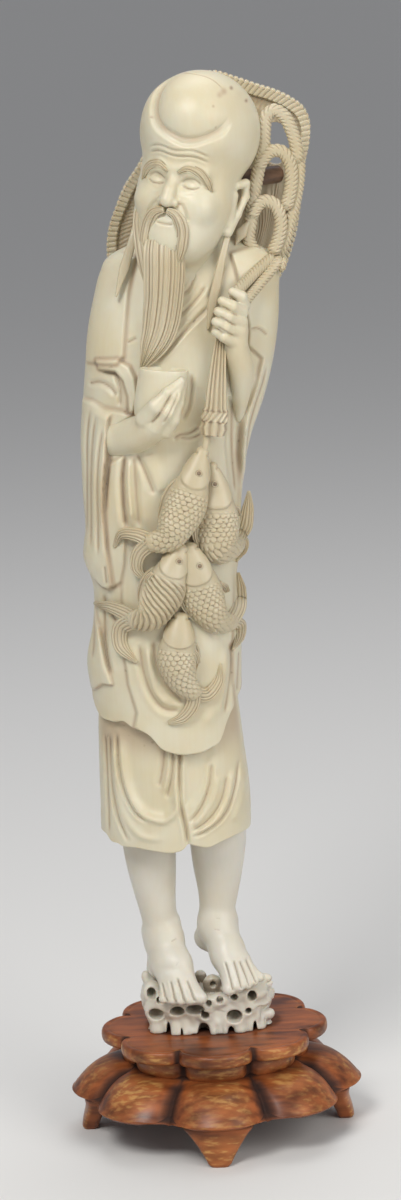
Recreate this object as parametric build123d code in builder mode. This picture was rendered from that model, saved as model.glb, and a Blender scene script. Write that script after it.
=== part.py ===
"""An ivory okimono: an old sage of the water, carved in sections, on a lobed hardwood stand.

Millimetres. +Z is up from the table, -Y is the figure's front and +X is on the viewer's right.
The origin is the centre of the stand, on the table.
"""

import math
import os

from build123d import *

# Stand: feet
FOOT_HEIGHT = 10.5
FOOT_TOP_WIDTH = 19.5
FOOT_TOP_THICKNESS = 6.5
FOOT_KNEE_HEIGHT = 5.5
FOOT_KNEE_WIDTH = 12.0
FOOT_KNEE_THICKNESS = 5.4
FOOT_TOE_WIDTH = 5.4
FOOT_TOE_THICKNESS = 4.4
FOOT_TOE_OUT = 2.2
FOOT_CORNER = 1.0
FOOT_INSET = 7.0
FOOT_DOWEL_RADIUS = 1.3
FOOT_DOWEL_LENGTH = 7.0

# Stand: lower tier of petals, waist and top plate
PETAL_COUNT = 8
APRON_RADIUS = 39.0
APRON_PETAL_RADIUS = 14.5
APRON_RIM = 1.6
APRON_HEIGHT = 8.8
APRON_CROWN = 1.8
APRON_SHOULDER_RADIUS = 26.5
PETAL_GROOVE_RADIUS = 1.1
WAIST_RADIUS = 24.5
WAIST_PETAL_RADIUS = 11.0
WAIST_HEIGHT = 5.2
TOP_RADIUS = 30.5
TOP_PETAL_RADIUS = 12.0
TOP_THICKNESS = 3.5
TOP_EDGE_ROUND = 1.2
CENTRE_DOWEL_RADIUS = 3.0
CENTRE_DOWEL_IN_APRON = 4.5
CENTRE_DOWEL_IN_TOP = 1.8

# Fits
PEG_CLEARANCE = 0.05
LIFT_CLEARANCE = 0.1

# Rockwork
ROCK_X = -1.2
ROCK_Y = -0.4
ROCK_HALF_WIDTH = 16.6
ROCK_HALF_DEPTH = 10.4
ROCK_BELLY = 0.9
ROCK_HEIGHT = 9.5
ROCK_STEP_HEIGHT = 3.0
ROCK_STEP_X = 7.2
ROCK_STEP_HALF_WIDTH = 8.2
ROCK_STEP_HALF_DEPTH = 9.0
ROCK_KNOB_RADIUS = 3.4
ROCK_KNOB_SPREAD_X = 12.4
ROCK_KNOB_Y = 5.2
ROCK_HOLE_RADIUS = 1.9
ROCK_HOLE_SMALL_RADIUS = 1.2
ROCK_HOLE_PITCH = 6.2
ROCK_HOLE_LOW = 3.4
ROCK_HOLE_HIGH = 7.2
ROCK_PEG_RADIUS = 1.5
ROCK_PEG_SPREAD = 9.3
ROCK_PEG_DEPTH = 2.4
ROCK_PEG_IN_ROCK = 5.6

# Legs and feet
LEG_LENGTH = 42.7
LEG_IN_TROUSERS = 6.0
KNEE_HALF_WIDTH = 7.3
CALF_HALF_WIDTH = 6.3
CALF_DROP = 14.2
ANKLE_HALF_WIDTH = 4.4
ANKLE_DROP = 28.2
RIGHT_KNEE_X = -15.0
RIGHT_ANKLE_X = -13.4
LEFT_KNEE_X = 2.6
LEFT_ANKLE_X = 2.2
LEG_Y = 1.0
HEEL_Y = 4.0
TOE_Y = -10.0
RIGHT_TOE_X = -8.2
LEFT_TOE_X = 7.6
HEEL_HALF_WIDTH = 4.3
HEEL_HALF_HEIGHT = 4.6
INSTEP_HALF_WIDTH = 4.9
INSTEP_HALF_HEIGHT = 4.2
TOE_HALF_WIDTH = 6.1
TOE_HALF_HEIGHT = 2.3
LEFT_HEEL_LIFT = 6.5
LEG_PEG_RADIUS = 1.6
LEG_PEG_LENGTH = 12.0
SOLE_PEG_RADIUS = 0.9
SOLE_PEG_LENGTH = 4.0

# Trousers: sections given as rise above the hem, left x, right x and half depth
TROUSER_HEIGHT = 45.8
TROUSER_IN_ROBE = 18.0
TROUSER_ROWS = [
    (-1.2, -27.5, 11.9, 15.8),
    (3.8, -27.7, 12.2, 16.0),
    (11.8, -27.5, 12.2, 16.0),
    (25.8, -27.2, 11.0, 15.8),
    (TROUSER_HEIGHT, -26.0, 9.6, 14.8),
]
TROUSER_HEM = [
    (-28.0, 2.4),
    (-22.6, 1.8),
    (-13.6, 0.4),
    (-8.0, 0.0),
    (-4.6, 2.0),
    (1.2, 0.7),
    (7.5, 2.5),
    (12.4, 2.9),
]
TROUSER_FOLD_HEIGHT = 0.9
TROUSER_FOLD_WIDTH = 2.3
TROUSER_RIDGES = [
    [(-20.9, 31.8), (-20.2, 18.8), (-18.4, 13.4), (-15.6, 10.0), (-10.4, 8.8), (-7.4, 11.8), (-7.2, 19.8)],
    [(-23.2, 29.8), (-22.8, 15.8), (-21.2, 8.8), (-17.0, 4.4), (-10.0, 3.6)],
    [(8.0, 20.8), (6.2, 13.2), (3.0, 8.0), (-3.0, 4.6)],
]
TROUSER_VALLEYS = [
    [(-5.7, 31.8), (-5.9, 26.1), (-6.3, 18.4), (-6.0, 10.4), (-5.1, 5.6), (-4.6, -1.0)],
    [(-9.4, 30.9), (-10.6, 22.2), (-11.8, 17.1)],
    [(3.8, 22.8), (2.6, 16.6), (0.2, 11.2), (-4.0, 7.2)],
]
WAIST_PEG_RADIUS = 4.0
WAIST_PEG_LENGTH = 26.0

# Robe: sections given as rise above the hem, left x, right x, half depth and centre y
ROBE_ROWS = [
    (-1.6, -27.7, 10.9, 17.6, 0.0),
    (14.0, -28.5, 11.2, 18.0, 0.0),
    (22.0, -29.0, 11.5, 18.2, 0.0),
    (32.0, -27.6, 11.9, 18.2, 0.0),
    (50.0, -28.6, 12.3, 18.5, 0.0),
    (68.0, -27.9, 13.8, 18.6, 0.0),
    (80.0, -27.9, 16.2, 18.4, 0.0),
    (90.0, -27.1, 19.9, 18.0, 0.0),
    (99.0, -26.1, 22.6, 17.2, 0.2),
    (109.0, -24.9, 24.4, 16.0, 0.6),
    (118.0, -22.8, 25.0, 14.4, 1.0),
    (124.0, -20.9, 25.0, 13.0, 1.2),
    (127.5, -18.8, 23.0, 11.6, 1.4),
    (130.0, -14.0, 18.5, 10.2, 1.6),
    (132.0, -7.0, 13.0, 8.0, 1.8),
]
ROBE_HEM = [
    (-29.5, 15.0),
    (-27.1, 10.0),
    (-23.4, 7.5),
    (-19.8, 7.9),
    (-16.1, 6.0),
    (-13.2, 4.3),
    (-10.8, 1.2),
    (-7.4, -0.5),
    (-2.4, -1.0),
    (2.1, -0.1),
    (5.3, 2.3),
    (6.7, 6.1),
    (9.0, 10.4),
    (12.4, 14.6),
]
HEM_X = -8.4
COLLAR_X = 4.0
COLLAR_RISE = 130.0

# Main relief of the robe's front, as outlines and fold lines of (x, rise above the hem)
CLOTH_REACH = 40.0
SIDE_BLEND = 0.2
SLEEVE_PROUD = 1.7
PANEL_PROUD = 0.75
OPENING_DEPTH = 1.3
FOLD_DEPTH = 0.9
FOLD_WIDTH = 2.0
THICK_AREAS = {
    "right sleeve": [
        (-34.0, 91.5),
        (-24.3, 91.7),
        (-16.4, 89.6),
        (-14.0, 88.6),
        (-17.0, 86.6),
        (-20.4, 82.0),
        (-21.6, 71.7),
        (-22.3, 58.0),
        (-21.0, 44.0),
        (-23.9, 43.3),
        (-29.2, 50.4),
        (-34.0, 52.0),
    ],
    "right sleeve rim": [
        (-22.6, 102.3),
        (-17.1, 102.8),
        (-14.2, 101.0),
        (-12.8, 98.0),
        (-12.5, 93.4),
        (-13.7, 89.4),
        (-14.9, 89.4),
        (-15.9, 97.3),
        (-17.9, 99.6),
        (-22.3, 100.0),
    ],
    "left sleeve": [
        (13.0, 128.0),
        (15.0, 120.0),
        (16.6, 109.0),
        (16.2, 104.7),
        (19.8, 100.9),
        (18.0, 94.4),
        (15.6, 88.7),
        (13.4, 76.2),
        (13.6, 66.6),
        (14.5, 58.5),
        (30.0, 67.0),
        (34.0, 128.0),
    ],
    "right skirt": [(-34.0, 20.0), (-29.7, 20.6), (-26.6, 37.1), (-22.6, 17.6), (-28.2, 14.6), (-34.0, 13.0)],
}
THIN_AREAS = {
    "right shoulder": [
        (-11.5, 126.0),
        (-13.6, 120.0),
        (-15.2, 108.4),
        (-15.7, 103.5),
        (-22.3, 101.5),
        (-34.0, 101.0),
        (-34.0, 126.0),
    ],
    "sleeve lining": [
        (-20.6, 76.0),
        (-17.9, 77.0),
        (-18.4, 65.5),
        (-18.2, 55.0),
        (-21.0, 44.4),
        (-22.2, 63.0),
    ],
    "front skirt": [
        (-18.8, 42.0),
        (-18.8, 24.2),
        (-16.4, 10.4),
        (-17.3, 6.5),
        (-10.0, -3.0),
        (6.0, -3.0),
        (9.0, 8.0),
        (8.4, 16.0),
        (10.0, 42.0),
    ],
}
SLEEVE_OPENING = [
    (10.8, 91.8),
    (13.2, 89.5),
    (13.6, 82.0),
    (13.0, 69.3),
    (12.1, 59.7),
    (10.2, 67.8),
    (9.4, 79.1),
]
ROBE_FOLDS = [
    [(-16.4, 78.6), (-17.3, 72.0), (-17.4, 65.5), (-17.0, 58.9)],
    [(-14.0, 78.6), (-14.0, 69.9), (-13.7, 59.0)],
    [(-11.9, 77.0), (-11.0, 73.2), (-9.3, 67.8)],
    [(-15.1, 29.4), (-14.2, 21.3), (-12.2, 15.1), (-9.4, 11.5), (-4.4, 10.7)],
    [(-11.0, 30.4), (-10.4, 23.3), (-8.3, 18.1), (-3.8, 12.9)],
    [(7.6, 27.7), (7.6, 21.0), (6.4, 13.6), (5.2, 8.2)],
    [(-21.8, 41.0), (-21.6, 30.0), (-21.2, 20.0)],
]

# Head and beard: round sections along a leaning axis
HEAD_HEIGHT = 51.2
HEAD_CHIN_X = -1.5
HEAD_CHIN_Y = -11.2
HEAD_CHIN_RISE = 125.0
HEAD_LEAN_X = 11.6
HEAD_LEAN_Y = 10.5
HEAD_TURN = 22.0
CHIN_RADIUS = 4.2
JAW_RADIUS = 9.6
JAW_HEIGHT = 7.5
CHEEK_RADIUS = 13.4
CHEEK_HEIGHT = 19.5
DOME_RADIUS = 15.9
DOME_HEIGHT = 35.0
CROWN_RADIUS = 11.5
CROWN_HEIGHT = 46.5
CROWN_TIP_RADIUS = 1.6
NECK_RADIUS = 8.0
NECK_Y = 0.5
NECK_LENGTH = 12.0
LOBE_HEIGHT = 10.5
LOBE_SPREAD = 11.2
EAR_HEIGHT = 17.0
EAR_SPREAD = 13.2
EAR_TOP_HEIGHT = 25.0
EAR_TOP_SPREAD = 14.0
EAR_HALF_WIDTH = 1.3
LOBE_HALF_DEPTH = 1.4
EAR_HALF_DEPTH = 2.3
BEARD_Y = -16.6
BEARD_HALF_WIDTH = 5.2
BEARD_HALF_DEPTH = 2.6
BEARD_ROOT_RISE = 136.0
BEARD_MID_RISE = 122.0
BEARD_TURN_RISE = 109.0
BEARD_TIP_RISE = 101.0
BEARD_ROOT_X = -3.8
BEARD_MID_X = -4.4
BEARD_TURN_X = -6.6
BEARD_TIP_X = -10.6
BEARD_TURN_HALF_WIDTH = 4.6
BEARD_TIP_HALF_WIDTH = 1.0
NECK_PEG_RADIUS = 2.5
NECK_PEG_LENGTH = 18.0

# Straw hat slung on the back
HAT_X = 8.2
HAT_RISE = 140.6
HAT_OUTLINE = [
    (24.1, -0.6),
    (26.7, 14.4),
    (26.8, 19.2),
    (25.4, 22.6),
    (22.2, 25.3),
    (13.8, 29.0),
    (2.4, 33.0),
    (-5.2, 30.4),
    (-12.2, 20.9),
    (-18.4, 9.0),
    (-24.8, -2.2),
    (-27.4, -12.6),
    (-26.6, -20.6),
    (-21.7, -29.1),
    (-13.2, -33.8),
    (-2.2, -34.6),
    (8.8, -31.1),
    (17.3, -22.6),
    (22.0, -11.6),
]
HAT_BORDER = 3.0
HAT_RECESS = 1.4
HAT_LEAN = 6.0
HAT_FRONT_Y = 13.4
HAT_THICKNESS = 3.0
HAT_CROWN_HEIGHT = 4.6
HAT_CROWN_FOOT_SHARE = 0.56
HAT_CROWN_TOP_SHARE = 0.46
HAT_PEG_RADIUS = 1.8
HAT_PEG_LENGTH = 11.0
HAT_PEG_RISE = 117.0
SIDE_PEG_RADIUS = 2.2
SIDE_PEG_RISE = 146.0
SIDE_PEG_IN_HEAD_X = 12.5
SIDE_PEG_IN_HEAD_Y = -0.8
SIDE_PEG_SWING = 47.0
SIDE_PEG_HAT_SHARE = 0.8

# Right forearm and hand, and the wine cup that it holds
RIGHT_ELBOW_X = -20.5
RIGHT_ELBOW_Y = -7.0
RIGHT_ELBOW_RISE = 81.8
RIGHT_WRIST_X = -13.0
RIGHT_WRIST_Y = -18.8
RIGHT_WRIST_RISE = 83.4
RIGHT_PALM_X = -5.0
RIGHT_PALM_Y = -25.0
RIGHT_PALM_RISE = 86.0
RIGHT_TIPS_X = 0.2
RIGHT_TIPS_Y = -24.0
RIGHT_TIPS_RISE = 96.0
FOREARM_RADIUS = 5.0
WRIST_RADIUS = 4.4
PALM_HALF_WIDTH = 5.0
PALM_HALF_DEPTH = 3.6
TIPS_HALF_WIDTH = 2.8
TIPS_HALF_DEPTH = 1.8
CUP_X = -5.6
CUP_Y = -22.0
CUP_BASE_RISE = 89.0
CUP_HEIGHT = 11.2
CUP_RIM_RADIUS = 6.3
CUP_FOOT_RADIUS = 4.4
CUP_HOLLOW_DEPTH = 3.0
CUP_WALL = 1.0

# Left forearm and fist
LEFT_ELBOW_X = 13.5
LEFT_ELBOW_Y = -7.5
LEFT_ELBOW_RISE = 91.0
LEFT_WRIST_X = 14.2
LEFT_WRIST_Y = -16.4
LEFT_WRIST_RISE = 101.5
LEFT_FOREARM_RADIUS = 4.0
LEFT_WRIST_RADIUS = 3.8
FIST_X = 12.4
FIST_Y = -20.0
FIST_RISE = 111.0
FIST_TOP_RISE = 116.5
FIST_HALF_WIDTH = 4.8
FIST_HALF_DEPTH = 4.4
WRIST_PEG_RADIUS = 1.3
WRIST_PEG_LENGTH = 9.0

# Looped straw rope, its stem through the fist and its tassel
LOOP_PLANE_Y = -4.0
LOOP_THICKNESS = 4.2
LOOP_FOOT_X = 24.2
LOOP_FOOT_RISE = 124.5
LOOP_HEIGHT = 40.4
LOOP_LOW_SHARE = 0.22
LOOP_MIDDLE_SHARE = 0.46
LOOP_HIGH_SHARE = 0.74
LOOP_TOP_SHARE = 0.94
LOOP_LOW_LEFT = -6.2
LOOP_LOW_RIGHT = 3.8
LOOP_MIDDLE_LEFT = -6.4
LOOP_MIDDLE_RIGHT = 6.2
LOOP_HIGH_LEFT = -2.6
LOOP_HIGH_RIGHT = 7.0
LOOP_TOP_LEFT = -2.0
LOOP_TOP_RIGHT = 5.0
LOOP_STRAND = 3.3
LOOP_HOLE_HALF_HEIGHT = 4.0
LOOP_TOP_HOLE_HALF_HEIGHT = 2.6
STEM_RADIUS = 3.0
STEM_FOOT_X = 8.4
STEM_FOOT_Y = -20.6
STEM_FOOT_RISE = 105.5
TASSEL_LENGTH = 22.5
TASSEL_TOP_HALF_WIDTH = 2.4
TASSEL_END_HALF_WIDTH = 3.9
TASSEL_HALF_DEPTH = 2.4
TASSEL_END_X = 7.0
BAND_HEIGHT = 2.4
BAND_RISE = 4.8
BAND_PROUD = 0.4

# String of carp: places across the robe and heights above its hem
FISH_HALF_WIDTH = 5.6
FISH_HALF_DEPTH = 5.0
FISH_NOSE_HALF_WIDTH = 1.7
FISH_GILL_HALF_WIDTH = 4.6
FISH_ROOT_HALF_WIDTH = 2.0
FISH_FIN_HALF_WIDTH = 2.3
FISH_FIN_HALF_DEPTH = 1.1
FISH_STAND_OFF = 1.6
UPPER_LEFT_MOUTH = (3.6, 78.0)
UPPER_LEFT_TAIL = (-10.3, 56.2)
UPPER_LEFT_FINS = ((-19.0, 57.6), (-12.3, 46.6))
UPPER_LEFT_BEND = 3.4
UPPER_RIGHT_MOUTH = (6.8, 75.0)
UPPER_RIGHT_TAIL = (13.4, 51.0)
UPPER_RIGHT_FINS = ((14.6, 61.0), (14.2, 47.0))
UPPER_RIGHT_BEND = -1.6
MIDDLE_LEFT_MOUTH = (-2.8, 52.6)
MIDDLE_LEFT_TAIL = (-16.2, 34.6)
MIDDLE_LEFT_FINS = ((-24.6, 36.8), (-16.4, 24.4))
MIDDLE_LEFT_BEND = 3.0
MIDDLE_RIGHT_MOUTH = (0.0, 53.0)
MIDDLE_RIGHT_TAIL = (9.4, 31.4)
MIDDLE_RIGHT_FINS = ((12.0, 40.6), (10.6, 25.4))
MIDDLE_RIGHT_BEND = -2.6
LOWER_MOUTH = (-3.8, 35.6)
LOWER_TAIL = (-1.2, 14.8)
LOWER_FINS = ((6.0, 20.6), (-8.4, 8.6))
LOWER_BEND = -2.4
FISH_PEG_RADIUS = 1.2
FISH_PEG_LENGTH = 9.0
EYE_RADIUS = 0.95
EYE_ALONG = 0.2
CORD_RADIUS = 1.1

# Heights that follow from the stack
apron_z = FOOT_HEIGHT
waist_z = apron_z + APRON_HEIGHT
top_z = waist_z + WAIST_HEIGHT
deck_z = top_z + TOP_THICKNESS
right_sole_z = deck_z + ROCK_HEIGHT
left_sole_z = right_sole_z + ROCK_STEP_HEIGHT
trouser_hem_z = right_sole_z + LEG_LENGTH
trouser_top_z = trouser_hem_z + TROUSER_HEIGHT
robe_hem_z = trouser_top_z - TROUSER_IN_ROBE



def robe_z(rise):
    """Height above the table of a point given as its rise above the robe's hem."""
    return robe_hem_z + rise


def robe_front(x, z):
    """The y of the robe's front at a place, between the two nearest sections."""
    pairs = list(zip(ROBE_ROWS, ROBE_ROWS[1:]))
    low, high = next((pair for pair in pairs if z <= robe_z(pair[1][0])), pairs[-1])
    share = (z - robe_z(low[0])) / (high[0] - low[0])
    left, right, half_depth, centre_y = (a + (b - a) * share for a, b in zip(low[1:], high[1:]))
    across = min(0.9, abs(2 * x - left - right) / (right - left))
    return centre_y - half_depth * math.sqrt(1 - across**2)


def level(x, y, z):
    """A level plane with its local X along +X."""
    return Plane(origin=(x, y, z), x_dir=(1, 0, 0), z_dir=(0, 0, 1))


def crossing(point, towards, side):
    """A plane across a path at a point, facing along the path, with local X along side."""
    return Plane(origin=point, x_dir=side, z_dir=towards)


def lofted(sections):
    """A smooth solid through ellipses, each given as (plane, half width, half depth)."""
    with BuildPart() as body:
        for plane, half_width, half_depth in sections:
            with BuildSketch(plane):
                Ellipse(half_width, half_depth)
        loft()
    return body.part


def limb(points, sizes):
    """A smooth solid along a path of points, with (half width, half depth) at each."""
    ways = [Vector(*b) - Vector(*a) for a, b in zip(points, points[1:])]
    facing = [ways[0]] + [(a.normalized() + b.normalized()) for a, b in zip(ways, ways[1:])] + [ways[-1]]
    sections = []
    for point, way, (half_width, half_depth) in zip(points, facing, sizes):
        side = way.cross(Vector(0, -1, 0))
        sections.append((crossing(point, way, side), half_width, half_depth))
    return lofted(sections)


def garment(rows, base_z, proud=0.0):
    """A smooth solid through a table of sections, with its front and back pushed out by proud."""
    sections = []
    for rise, left, right, half_depth, *centre_y in rows:
        middle = level((left + right) / 2, sum(centre_y), base_z + rise)
        widen = math.copysign(SIDE_BLEND, proud) if proud else 0.0
        sections.append((middle, (right - left) / 2 + widen, half_depth + proud))
    return lofted(sections)


def front_face(base_z):
    """The upright plane through the axis, with local Y up from a height and facing the viewer."""
    return Plane(origin=(0, 0, base_z), x_dir=(1, 0, 0), z_dir=(0, -1, 0))


def area_prism(outline, base_z):
    """A prism that reaches forwards from an outline in the front view."""
    with BuildPart() as prism:
        with BuildSketch(front_face(base_z)):
            with BuildLine():
                Polyline(*outline, close=True)
            make_face()
        extrude(amount=CLOTH_REACH)
    return prism.part


def fold_prism(path, width, base_z):
    """A curved strip in the front view, drawn out forwards."""
    with BuildPart() as prism:
        with BuildSketch(front_face(base_z)):
            with BuildLine():
                Spline(*path)
            trace(line_width=width)
        extrude(amount=CLOTH_REACH)
    return prism.part


def below_hem(hem, base_z):
    """Everything under a hem line, from front to back."""
    first, last = hem[0], hem[-1]
    with BuildPart() as cutter:
        with BuildSketch(front_face(base_z)):
            with BuildLine():
                Polyline(
                    (first[0] - CLOTH_REACH, first[1]),
                    *hem,
                    (last[0] + CLOTH_REACH, last[1]),
                    (last[0] + CLOTH_REACH, -CLOTH_REACH),
                    (first[0] - CLOTH_REACH, -CLOTH_REACH),
                    close=True,
                )
            make_face()
        extrude(amount=CLOTH_REACH, both=True)
    return cutter.part


def rod(start, direction, length, radius):
    """A round rod from a point, along a direction."""
    with BuildPart() as bar:
        with BuildSketch(Plane(origin=start, z_dir=direction)):
            Circle(radius)
        extrude(amount=length)
    return bar.part


def lobed_outline(radius, lobe_radius):
    """A closed outline of round lobes, one of them facing -Y."""
    with BuildSketch() as outline:
        Circle(radius - lobe_radius)
        with PolarLocations(radius - lobe_radius, PETAL_COUNT, start_angle=-90):
            Circle(lobe_radius)
    return outline.sketch


def save(part, name):
    """Names a finished piece and writes it."""
    part.label = name
    export_step(part, f"parts/{name}.step")


os.makedirs("parts", exist_ok=True)

# Rods that pin the pieces together, each with the hole that it sits in
centre_dowel_z = waist_z - CENTRE_DOWEL_IN_APRON
centre_dowel_length = CENTRE_DOWEL_IN_APRON + WAIST_HEIGHT + CENTRE_DOWEL_IN_TOP


def peg_and_hole(start, direction, length, radius, clearance=PEG_CLEARANCE):
    """A peg, and the slightly larger rod that its hole is cut with."""
    unit = Vector(*direction).normalized()
    back = Vector(*start) - unit * clearance
    peg = rod(start, direction, length, radius)
    hole = rod(tuple(back), direction, length + 2 * clearance, radius + clearance)
    return peg, hole


centre_dowel, centre_hole = peg_and_hole(
    (0, 0, centre_dowel_z), (0, 0, 1), centre_dowel_length, CENTRE_DOWEL_RADIUS
)

# Feet of the stand, a quarter turn apart, each with its dowel
foot_dowels = []
foot_holes = []
foot_circle_radius = APRON_RADIUS - FOOT_INSET
FOOT_ANGLES = {"front": -90, "right": 0, "back": 90, "left": 180}
for side_name, angle in FOOT_ANGLES.items():
    turn = math.radians(angle)
    outwards = (math.cos(turn), math.sin(turn), 0)
    centre = (foot_circle_radius * outwards[0], foot_circle_radius * outwards[1])
    toe_radius = foot_circle_radius + FOOT_TOE_OUT
    toe_centre = (toe_radius * outwards[0], toe_radius * outwards[1])
    dowel, dowel_hole = peg_and_hole(
        (*centre, FOOT_HEIGHT - FOOT_DOWEL_LENGTH / 2), (0, 0, 1), FOOT_DOWEL_LENGTH, FOOT_DOWEL_RADIUS
    )
    foot_dowels.append(dowel)
    foot_holes.append(dowel_hole)
    with BuildPart() as foot:
        for middle, height, width, thickness in (
            (toe_centre, 0.0, FOOT_TOE_WIDTH, FOOT_TOE_THICKNESS),
            (centre, FOOT_KNEE_HEIGHT, FOOT_KNEE_WIDTH, FOOT_KNEE_THICKNESS),
            (centre, FOOT_HEIGHT, FOOT_TOP_WIDTH, FOOT_TOP_THICKNESS),
        ):
            with BuildSketch(Plane(origin=(*middle, height), x_dir=outwards, z_dir=(0, 0, 1))):
                RectangleRounded(thickness, width, FOOT_CORNER)
        loft()
        add(dowel_hole, mode=Mode.SUBTRACT)
    save(foot.part, f"stand_foot_{side_name}")

with BuildPart() as foot_dowel_group:
    for dowel in foot_dowels:
        add(dowel)
save(foot_dowel_group.part, "foot_dowels")

# Lower tier: a ring of petals that roll over from the waist to the rim
with BuildPart() as apron:
    with BuildSketch(Plane.XZ):
        with BuildLine():
            rim_top = (APRON_RADIUS, apron_z + APRON_RIM)
            shoulder = (APRON_SHOULDER_RADIUS, waist_z)
            Polyline((0, waist_z), (0, apron_z), (APRON_RADIUS, apron_z), rim_top)
            SagittaArc(rim_top, shoulder, -APRON_CROWN)
            Line(shoulder, (0, waist_z))
        make_face()
    revolve(axis=Axis.Z)
    with BuildSketch(Plane.XY.offset(apron_z)):
        add(lobed_outline(APRON_RADIUS, APRON_PETAL_RADIUS))
    extrude(amount=APRON_HEIGHT, mode=Mode.INTERSECT)
    slope_run = APRON_RADIUS - APRON_SHOULDER_RADIUS
    slope_fall = APRON_HEIGHT - APRON_RIM
    slope = math.degrees(math.atan2(slope_fall, slope_run))
    groove_radius_out = (APRON_RADIUS + APRON_SHOULDER_RADIUS) / 2
    groove_z = waist_z - slope_fall / 2 + APRON_CROWN
    with Locations((0, 0, groove_z)):
        with PolarLocations(groove_radius_out, PETAL_COUNT, start_angle=-90 + 180 / PETAL_COUNT):
            Cylinder(
                PETAL_GROOVE_RADIUS, 2 * slope_run, rotation=(0, 90 + slope, 0), mode=Mode.SUBTRACT
            )
    add(centre_hole, mode=Mode.SUBTRACT)
    for dowel_hole in foot_holes:
        add(dowel_hole, mode=Mode.SUBTRACT)
save(apron.part, "stand_apron")

with BuildPart() as waist:
    with BuildSketch(Plane.XY.offset(waist_z)):
        add(lobed_outline(WAIST_RADIUS, WAIST_PETAL_RADIUS))
    extrude(amount=WAIST_HEIGHT)
    add(centre_hole, mode=Mode.SUBTRACT)
save(waist.part, "stand_waist")

# Pegs under the rockwork, which lift out of the top plate
rock_pegs = []
rock_holes = []
deck_holes = []
for side in (-1, 1):
    peg_x = ROCK_X + side * ROCK_PEG_SPREAD
    peg_start = (peg_x, ROCK_Y, deck_z - ROCK_PEG_DEPTH)
    peg, rock_hole = peg_and_hole(peg_start, (0, 0, 1), ROCK_PEG_DEPTH + ROCK_PEG_IN_ROCK, ROCK_PEG_RADIUS)
    rock_pegs.append(peg)
    rock_holes.append(rock_hole)
    deck_holes.append(
        rod(
            (peg_x, ROCK_Y, deck_z - ROCK_PEG_DEPTH - LIFT_CLEARANCE),
            (0, 0, 1),
            ROCK_PEG_DEPTH + 2 * LIFT_CLEARANCE,
            ROCK_PEG_RADIUS + LIFT_CLEARANCE,
        )
    )

with BuildPart() as top_plate:
    with BuildSketch(Plane.XY.offset(top_z)):
        add(lobed_outline(TOP_RADIUS, TOP_PETAL_RADIUS))
    extrude(amount=TOP_THICKNESS)
    fillet(top_plate.faces().sort_by(Axis.Z)[-1].edges(), TOP_EDGE_ROUND)
    add(centre_hole, mode=Mode.SUBTRACT)
    for deck_hole in deck_holes:
        add(deck_hole, mode=Mode.SUBTRACT)
save(top_plate.part, "stand_top")
save(centre_dowel, "stand_dowel")

with BuildPart() as rock_peg_group:
    for peg in rock_pegs:
        add(peg)
save(rock_peg_group.part, "rock_pegs")

# Legs: a tapering shin and a foot that ends in a flat sole
sole_pegs = []
sole_holes = []
leg_pegs = []
leg_holes = []
leg_parts = {}
for side_name, knee_x, ankle_x, toe_x, sole_z, heel_lift in (
    ("right", RIGHT_KNEE_X, RIGHT_ANKLE_X, RIGHT_TOE_X, right_sole_z, 0.0),
    ("left", LEFT_KNEE_X, LEFT_ANKLE_X, LEFT_TOE_X, left_sole_z, LEFT_HEEL_LIFT),
):
    knee_z = trouser_hem_z + LEG_IN_TROUSERS
    ankle_z = trouser_hem_z - ANKLE_DROP
    heel_z = sole_z + heel_lift + HEEL_HALF_HEIGHT / 2
    toe_z = sole_z + TOE_HALF_HEIGHT / 2
    calf_x = (knee_x + ankle_x) / 2
    shin = lofted(
        [
            (level(ankle_x, HEEL_Y / 2, heel_z), ANKLE_HALF_WIDTH, ANKLE_HALF_WIDTH),
            (level(ankle_x, LEG_Y, ankle_z), ANKLE_HALF_WIDTH, ANKLE_HALF_WIDTH),
            (level(calf_x, LEG_Y, trouser_hem_z - CALF_DROP), CALF_HALF_WIDTH, CALF_HALF_WIDTH),
            (level(knee_x, LEG_Y, knee_z), KNEE_HALF_WIDTH, KNEE_HALF_WIDTH),
        ]
    )
    heel = (ankle_x, HEEL_Y, heel_z)
    toe = (toe_x, TOE_Y, toe_z)
    instep = ((heel[0] + toe[0]) / 2, (heel[1] + toe[1]) / 2, (heel[2] + toe[2]) / 2 + HEEL_HALF_HEIGHT / 4)
    forwards = Vector(*toe) - Vector(*heel)
    across = Vector(0, 0, 1).cross(forwards)
    foot_form = lofted(
        [
            (crossing(heel, forwards, across), HEEL_HALF_WIDTH, HEEL_HALF_HEIGHT),
            (crossing(instep, forwards, across), INSTEP_HALF_WIDTH, INSTEP_HALF_HEIGHT),
            (crossing(toe, forwards, across), TOE_HALF_WIDTH, TOE_HALF_HEIGHT),
        ]
    )
    ball = ((instep[0] + 2 * toe[0]) / 3, (instep[1] + 2 * toe[1]) / 3, sole_z - SOLE_PEG_LENGTH / 2)
    sole_peg, sole_hole = peg_and_hole(ball, (0, 0, 1), SOLE_PEG_LENGTH, SOLE_PEG_RADIUS)
    leg_peg, leg_hole = peg_and_hole(
        (knee_x, LEG_Y, knee_z - LEG_PEG_LENGTH / 2), (0, 0, 1), LEG_PEG_LENGTH, LEG_PEG_RADIUS
    )
    with BuildPart() as leg:
        add(shin)
        add(foot_form)
        split(bisect_by=Plane.XY.offset(sole_z), keep=Keep.TOP)
    leg_parts[side_name] = leg.part
    with BuildPart() as bored_leg:
        add(leg.part)
        add(sole_hole, mode=Mode.SUBTRACT)
        add(leg_hole, mode=Mode.SUBTRACT)
    save(bored_leg.part, f"{side_name}_leg")
    sole_pegs.append(sole_peg)
    sole_holes.append(sole_hole)
    leg_pegs.append(leg_peg)
    leg_holes.append(leg_hole)

with BuildPart() as sole_peg_group:
    for peg in sole_pegs:
        add(peg)
save(sole_peg_group.part, "sole_pegs")

with BuildPart() as leg_peg_group:
    for peg in leg_pegs:
        add(peg)
save(leg_peg_group.part, "leg_pegs")

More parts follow.
